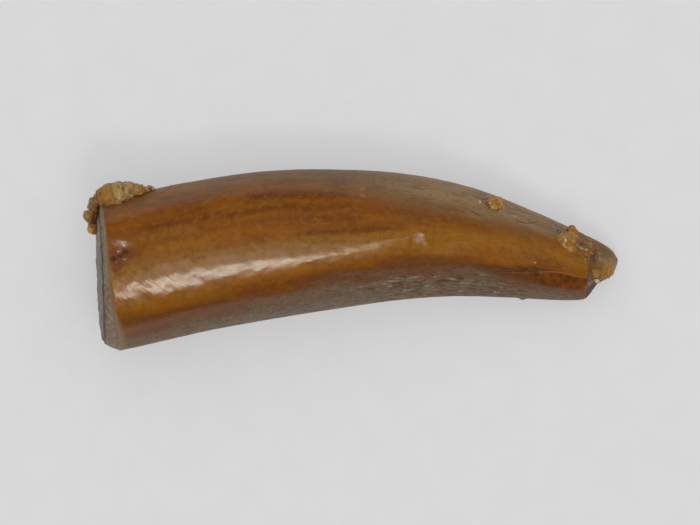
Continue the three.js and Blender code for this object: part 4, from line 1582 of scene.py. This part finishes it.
# %% Tip cluster
cluster_stones = [
    (6.90, 1.08, 1.55, 0.145, 0.13, 0.16, "amber"), (6.90, 1.16, 1.51, 0.12, 0.07, 0.12, "rust"),
    (6.81, 1.08, 1.52, 0.07, 0.09, 0.12, "rust"), (6.98, 1.02, 1.55, 0.10, 0.10, 0.14, "gold"),
    lying(6.86, 0.87, 0.17, 0.17, 0.17, "gold", 0.6), lying(6.98, 0.82, 0.12, 0.15, 0.15, "amber", 0.5),
    lying(6.88, 0.72, 0.15, 0.13, 0.14, "gold", 0.5), lying(6.56, 0.80, 0.17, 0.14, 0.14, "amber", 0.4),
    lying(6.48, 0.82, 0.09, 0.09, 0.08, "orange", 0.6), lying(6.60, 0.90, 0.12, 0.09, 0.10, "gold", 0.4),
    lying(6.72, 0.82, 0.15, 0.15, 0.16, "tan", 0.6), lying(6.66, 0.76, 0.11, 0.11, 0.12, "tan", 0.9),
    lying(6.64, 0.64, 0.07, 0.10, 0.08, "pink", 0.6), lying(6.68, 0.56, 0.05, 0.07, 0.06, "pink", 0.6),
    lying(6.80, 0.62, 0.12, 0.12, 0.11, "amber"), lying(6.84, 0.50, 0.16, 0.13, 0.09, "gold", 0.4),
    lying(6.94, 0.58, 0.12, 0.13, 0.10, "olive", 0.4), lying(6.96, 0.46, 0.09, 0.08, 0.06, "tan", 0.3),
    # The three cream grains set high in the knot are painted glints.
    lying(6.69, 0.75, 0.05, 0.07, 0.06, "cream_and_glint", 3.8), lying(6.66, 0.84, 0.04, 0.045, 0.05, "cream_and_glint", 4.6),
    lying(6.58, 0.88, 0.035, 0.03, 0.05, "cream_and_glint", 2.2), lying(7.05, 0.78, 0.07, 0.07, 0.06, "rust"),
]
RIDGE_SPACING = 0.038
RIDGE_TINTS = ("tan", "cream_and_glint", "tan", "pink")
ridge_line = np.array([(6.93, 0.73), (7.1, 0.54), (7.285, 0.47), (7.44, 0.434), (7.52, 0.36), (7.53, 0.31)])
ridge_reach = np.concatenate([[0], np.cumsum(np.linalg.norm(np.diff(ridge_line, axis=0), axis=1))])
for reach_along in np.arange(0.02, ridge_reach[-1], RIDGE_SPACING):
    ridge_x, ridge_y = (np.interp(reach_along, ridge_reach, ridge_line[:, i]) for i in (0, 1))
    ridge_colour = RIDGE_TINTS[int(reach_along / RIDGE_SPACING) % len(RIDGE_TINTS)]
    cluster_stones.append(lying(ridge_x, ridge_y, 0.040, 0.034, 0.046, ridge_colour, 1.0))
make_clot(
    "tip_cluster", "matrix_tip_cluster", "sandstone_matrix", cluster_stones,
    sand=46, sizes=(0.02, 0.045), tints=("amber", "tan", "gold", "lemon"),
    seed=28, voxel=0.0125, smoothing=8, shade=(0.72, 0.68, 0.48),
)

# %% Grains on the bare core
crust_stones = [
    lying(7.88, 0.12, 0.12, 0.07, 0.04, "grey", -0.2), lying(7.79, 0.16, 0.10, 0.08, 0.05, "grey", -0.1),
    lying(7.72, 0.30, 0.12, 0.11, 0.06, "olive", 0.2),
    lying(7.66, 0.44, 0.06, 0.05, 0.05, "rust"), lying(7.61, 0.10, 0.07, 0.08, 0.04, "rust"),
    lying(7.76, 0.20, 0.05, 0.04, 0.05, "gold"), lying(7.70, 0.36, 0.05, 0.05, 0.05, "gold"),
    lying(7.62, 0.28, 0.06, 0.05, 0.05, "umber"), lying(7.80, 0.34, 0.06, 0.05, 0.04, "olive"),
]
make_clot(
    "tip_crust", "matrix_facet_crust", "pale_grit", crust_stones,
    sand=12, sizes=(0.02, 0.04), tints=("grey", "olive", "tan"),
    seed=29, voxel=0.013, shade=(0.78, 0.74, 0.62),
)
lump_stones = [
    lying(7.64, -0.27, 0.14, 0.14, 0.10, "gold", 0.3), lying(7.58, -0.21, 0.08, 0.08, 0.07, "tan"),
    lying(7.71, -0.20, 0.08, 0.09, 0.08, "amber", 0.4), lying(7.60, -0.36, 0.07, 0.07, 0.06, "umber"),
    lying(7.75, -0.33, 0.06, 0.10, 0.05, "olive", 0.2), lying(7.68, -0.38, 0.06, 0.05, 0.05, "tan"),
]
make_clot(
    "tip_lump", "matrix_facet_lump", "sandstone_matrix", lump_stones,
    sand=16, sizes=(0.02, 0.04), tints=("tan", "amber", "pink"),
    seed=30, voxel=0.0125, smoothing=9, shade=(0.58, 0.53, 0.37),
)
# The bead's cream grain is partly a painted glint.
bead_stones = [
    lying(7.67, -0.49, 0.07, 0.05, 0.06, "cream_and_glint", 0.4), lying(7.72, -0.53, 0.07, 0.06, 0.07, "pink", 0.3),
    lying(7.62, -0.47, 0.05, 0.05, 0.06, "tan", 0.3),
]
make_clot(
    "tip_bead", "matrix_facet_bead", "pale_grit", bead_stones,
    sand=5, sizes=(0.018, 0.03), tints=("cream_and_glint", "tan"),
    seed=31, voxel=0.012,
)
grain_stones = [
    lying(8.05, -0.20, 0.13, 0.23, 0.11, "gold", -0.35), lying(7.94, -0.35, 0.12, 0.08, 0.08, "gold", -0.6),
    lying(8.02, -0.32, 0.09, 0.11, 0.10, "gold", -0.35),
]
make_clot(
    "tip_grain", "matrix_facet_grain", "amber_grain", grain_stones,
    sand=5, sizes=(0.02, 0.035), tints=("umber", "amber"),
    seed=32, voxel=0.0125, smoothing=14, shade=(0.66, 0.60, 0.5),
)

# %% [markdown]
# ## The table and the light
# The table is plain and pale. The light is that of a small light tent, strongest almost overhead
# and leaning a little towards the convex side, so the table shows hardly any shadow. A tent would
# also lay a pale veil over the whole glossy crown; it is kept out of the reflections, and three
# softboxes are put exactly where a shine is wanted. The flanks still mirror the pale table.

# %% Table
HALF_TABLE = 0.6
TABLE_DROP = 0.00001
CARD_DARK = (0.34, 0.34, 0.35)
CARD_PALE = (0.40, 0.40, 0.41)
table_mesh = bpy.data.meshes.new("table")
corners = [(HALF_TABLE * a, HALF_TABLE * b, -TABLE_DROP) for a, b in ((-1, -1), (1, -1), (1, 1), (-1, 1))]
table_mesh.from_pydata(corners, [], [(0, 1, 2, 3)])
table = bpy.data.objects.new("table", table_mesh)
bpy.context.scene.collection.objects.link(table)
card, card_tree, card_shader = new_finish("pale_card")
card_grain = speckle(card_tree, add(card_tree, "TexCoord").outputs["Object"], 900.0, 4.0)
card_colour = blend(card_tree, card_grain, CARD_DARK, CARD_PALE)
card_tree.links.new(card_colour, card_shader.inputs["Base Color"])
card_shader.inputs["Roughness"].default_value = 0.9
card_shader.inputs["Emission Color"].default_value = (1.0, 1.0, 1.02, 1)
card_shader.inputs["Emission Strength"].default_value = 0.38
table_mesh.materials.append(card)
print("table in mm:", 2 * HALF_TABLE / MM)

# %% Tent light
LEAN = (0.0, 0.21, 0.98)
HORIZON = (0.26, 0.265, 0.28)
OVERHEAD = (1.16, 1.16, 1.15)
world = bpy.data.worlds.new("light_tent")
bpy.context.scene.world = world
world.use_nodes = True
tent = world.node_tree
sky = next(n for n in tent.nodes if n.type == "BACKGROUND")
towards = add(tent, "TexCoord").outputs["Generated"]
up = add(tent, "VectorMath", {0: towards, 1: LEAN}, operation="DOT_PRODUCT").outputs["Value"]
overhead = rise_between(tent, up, 0.45, 1.0)
tent.links.new(blend(tent, overhead, HORIZON, OVERHEAD), sky.inputs["Color"])
world.cycles_visibility.glossy = False

# %% Three softboxes
LAMP_DISTANCE = 0.25


def softbox(name, sideways, forward, reach_x, reach_y, radiance, colour):
    """A rectangular lamp. The way to it and its half width and height are angles in degrees."""
    slope_x, slope_y, half_x, half_y = (
        math.tan(math.radians(angle)) for angle in (sideways, forward, reach_x, reach_y)
    )
    lean = Vector((slope_x, slope_y, 1)).normalized()
    data = bpy.data.lights.new(name, "AREA")
    data.shape = "RECTANGLE"
    data.size = 2 * LAMP_DISTANCE * half_x
    data.size_y = 2 * LAMP_DISTANCE * half_y
    data.energy = radiance * math.pi * data.size * data.size_y
    data.color = colour
    lamp = bpy.data.objects.new(name, data)
    lamp.location = lean * LAMP_DISTANCE
    lamp.rotation_mode = "QUATERNION"
    lamp.rotation_quaternion = lean.to_track_quat("Z", "Y")
    bpy.context.scene.collection.objects.link(lamp)
    print(name, "in mm:", round(data.size / MM), "by", round(data.size_y / MM))


softbox("key_softbox", 6, -27, 8.5, 4.2, 9.5, colour=(1, 0.99, 0.85))
softbox("crest_softbox", 20, -26, 10, 2.2, 3.6, colour=(1, 0.80, 0.50))
softbox("base_sheen", 2, -12, 8, 9.5, 1.2, colour=(1, 0.9, 0.78))
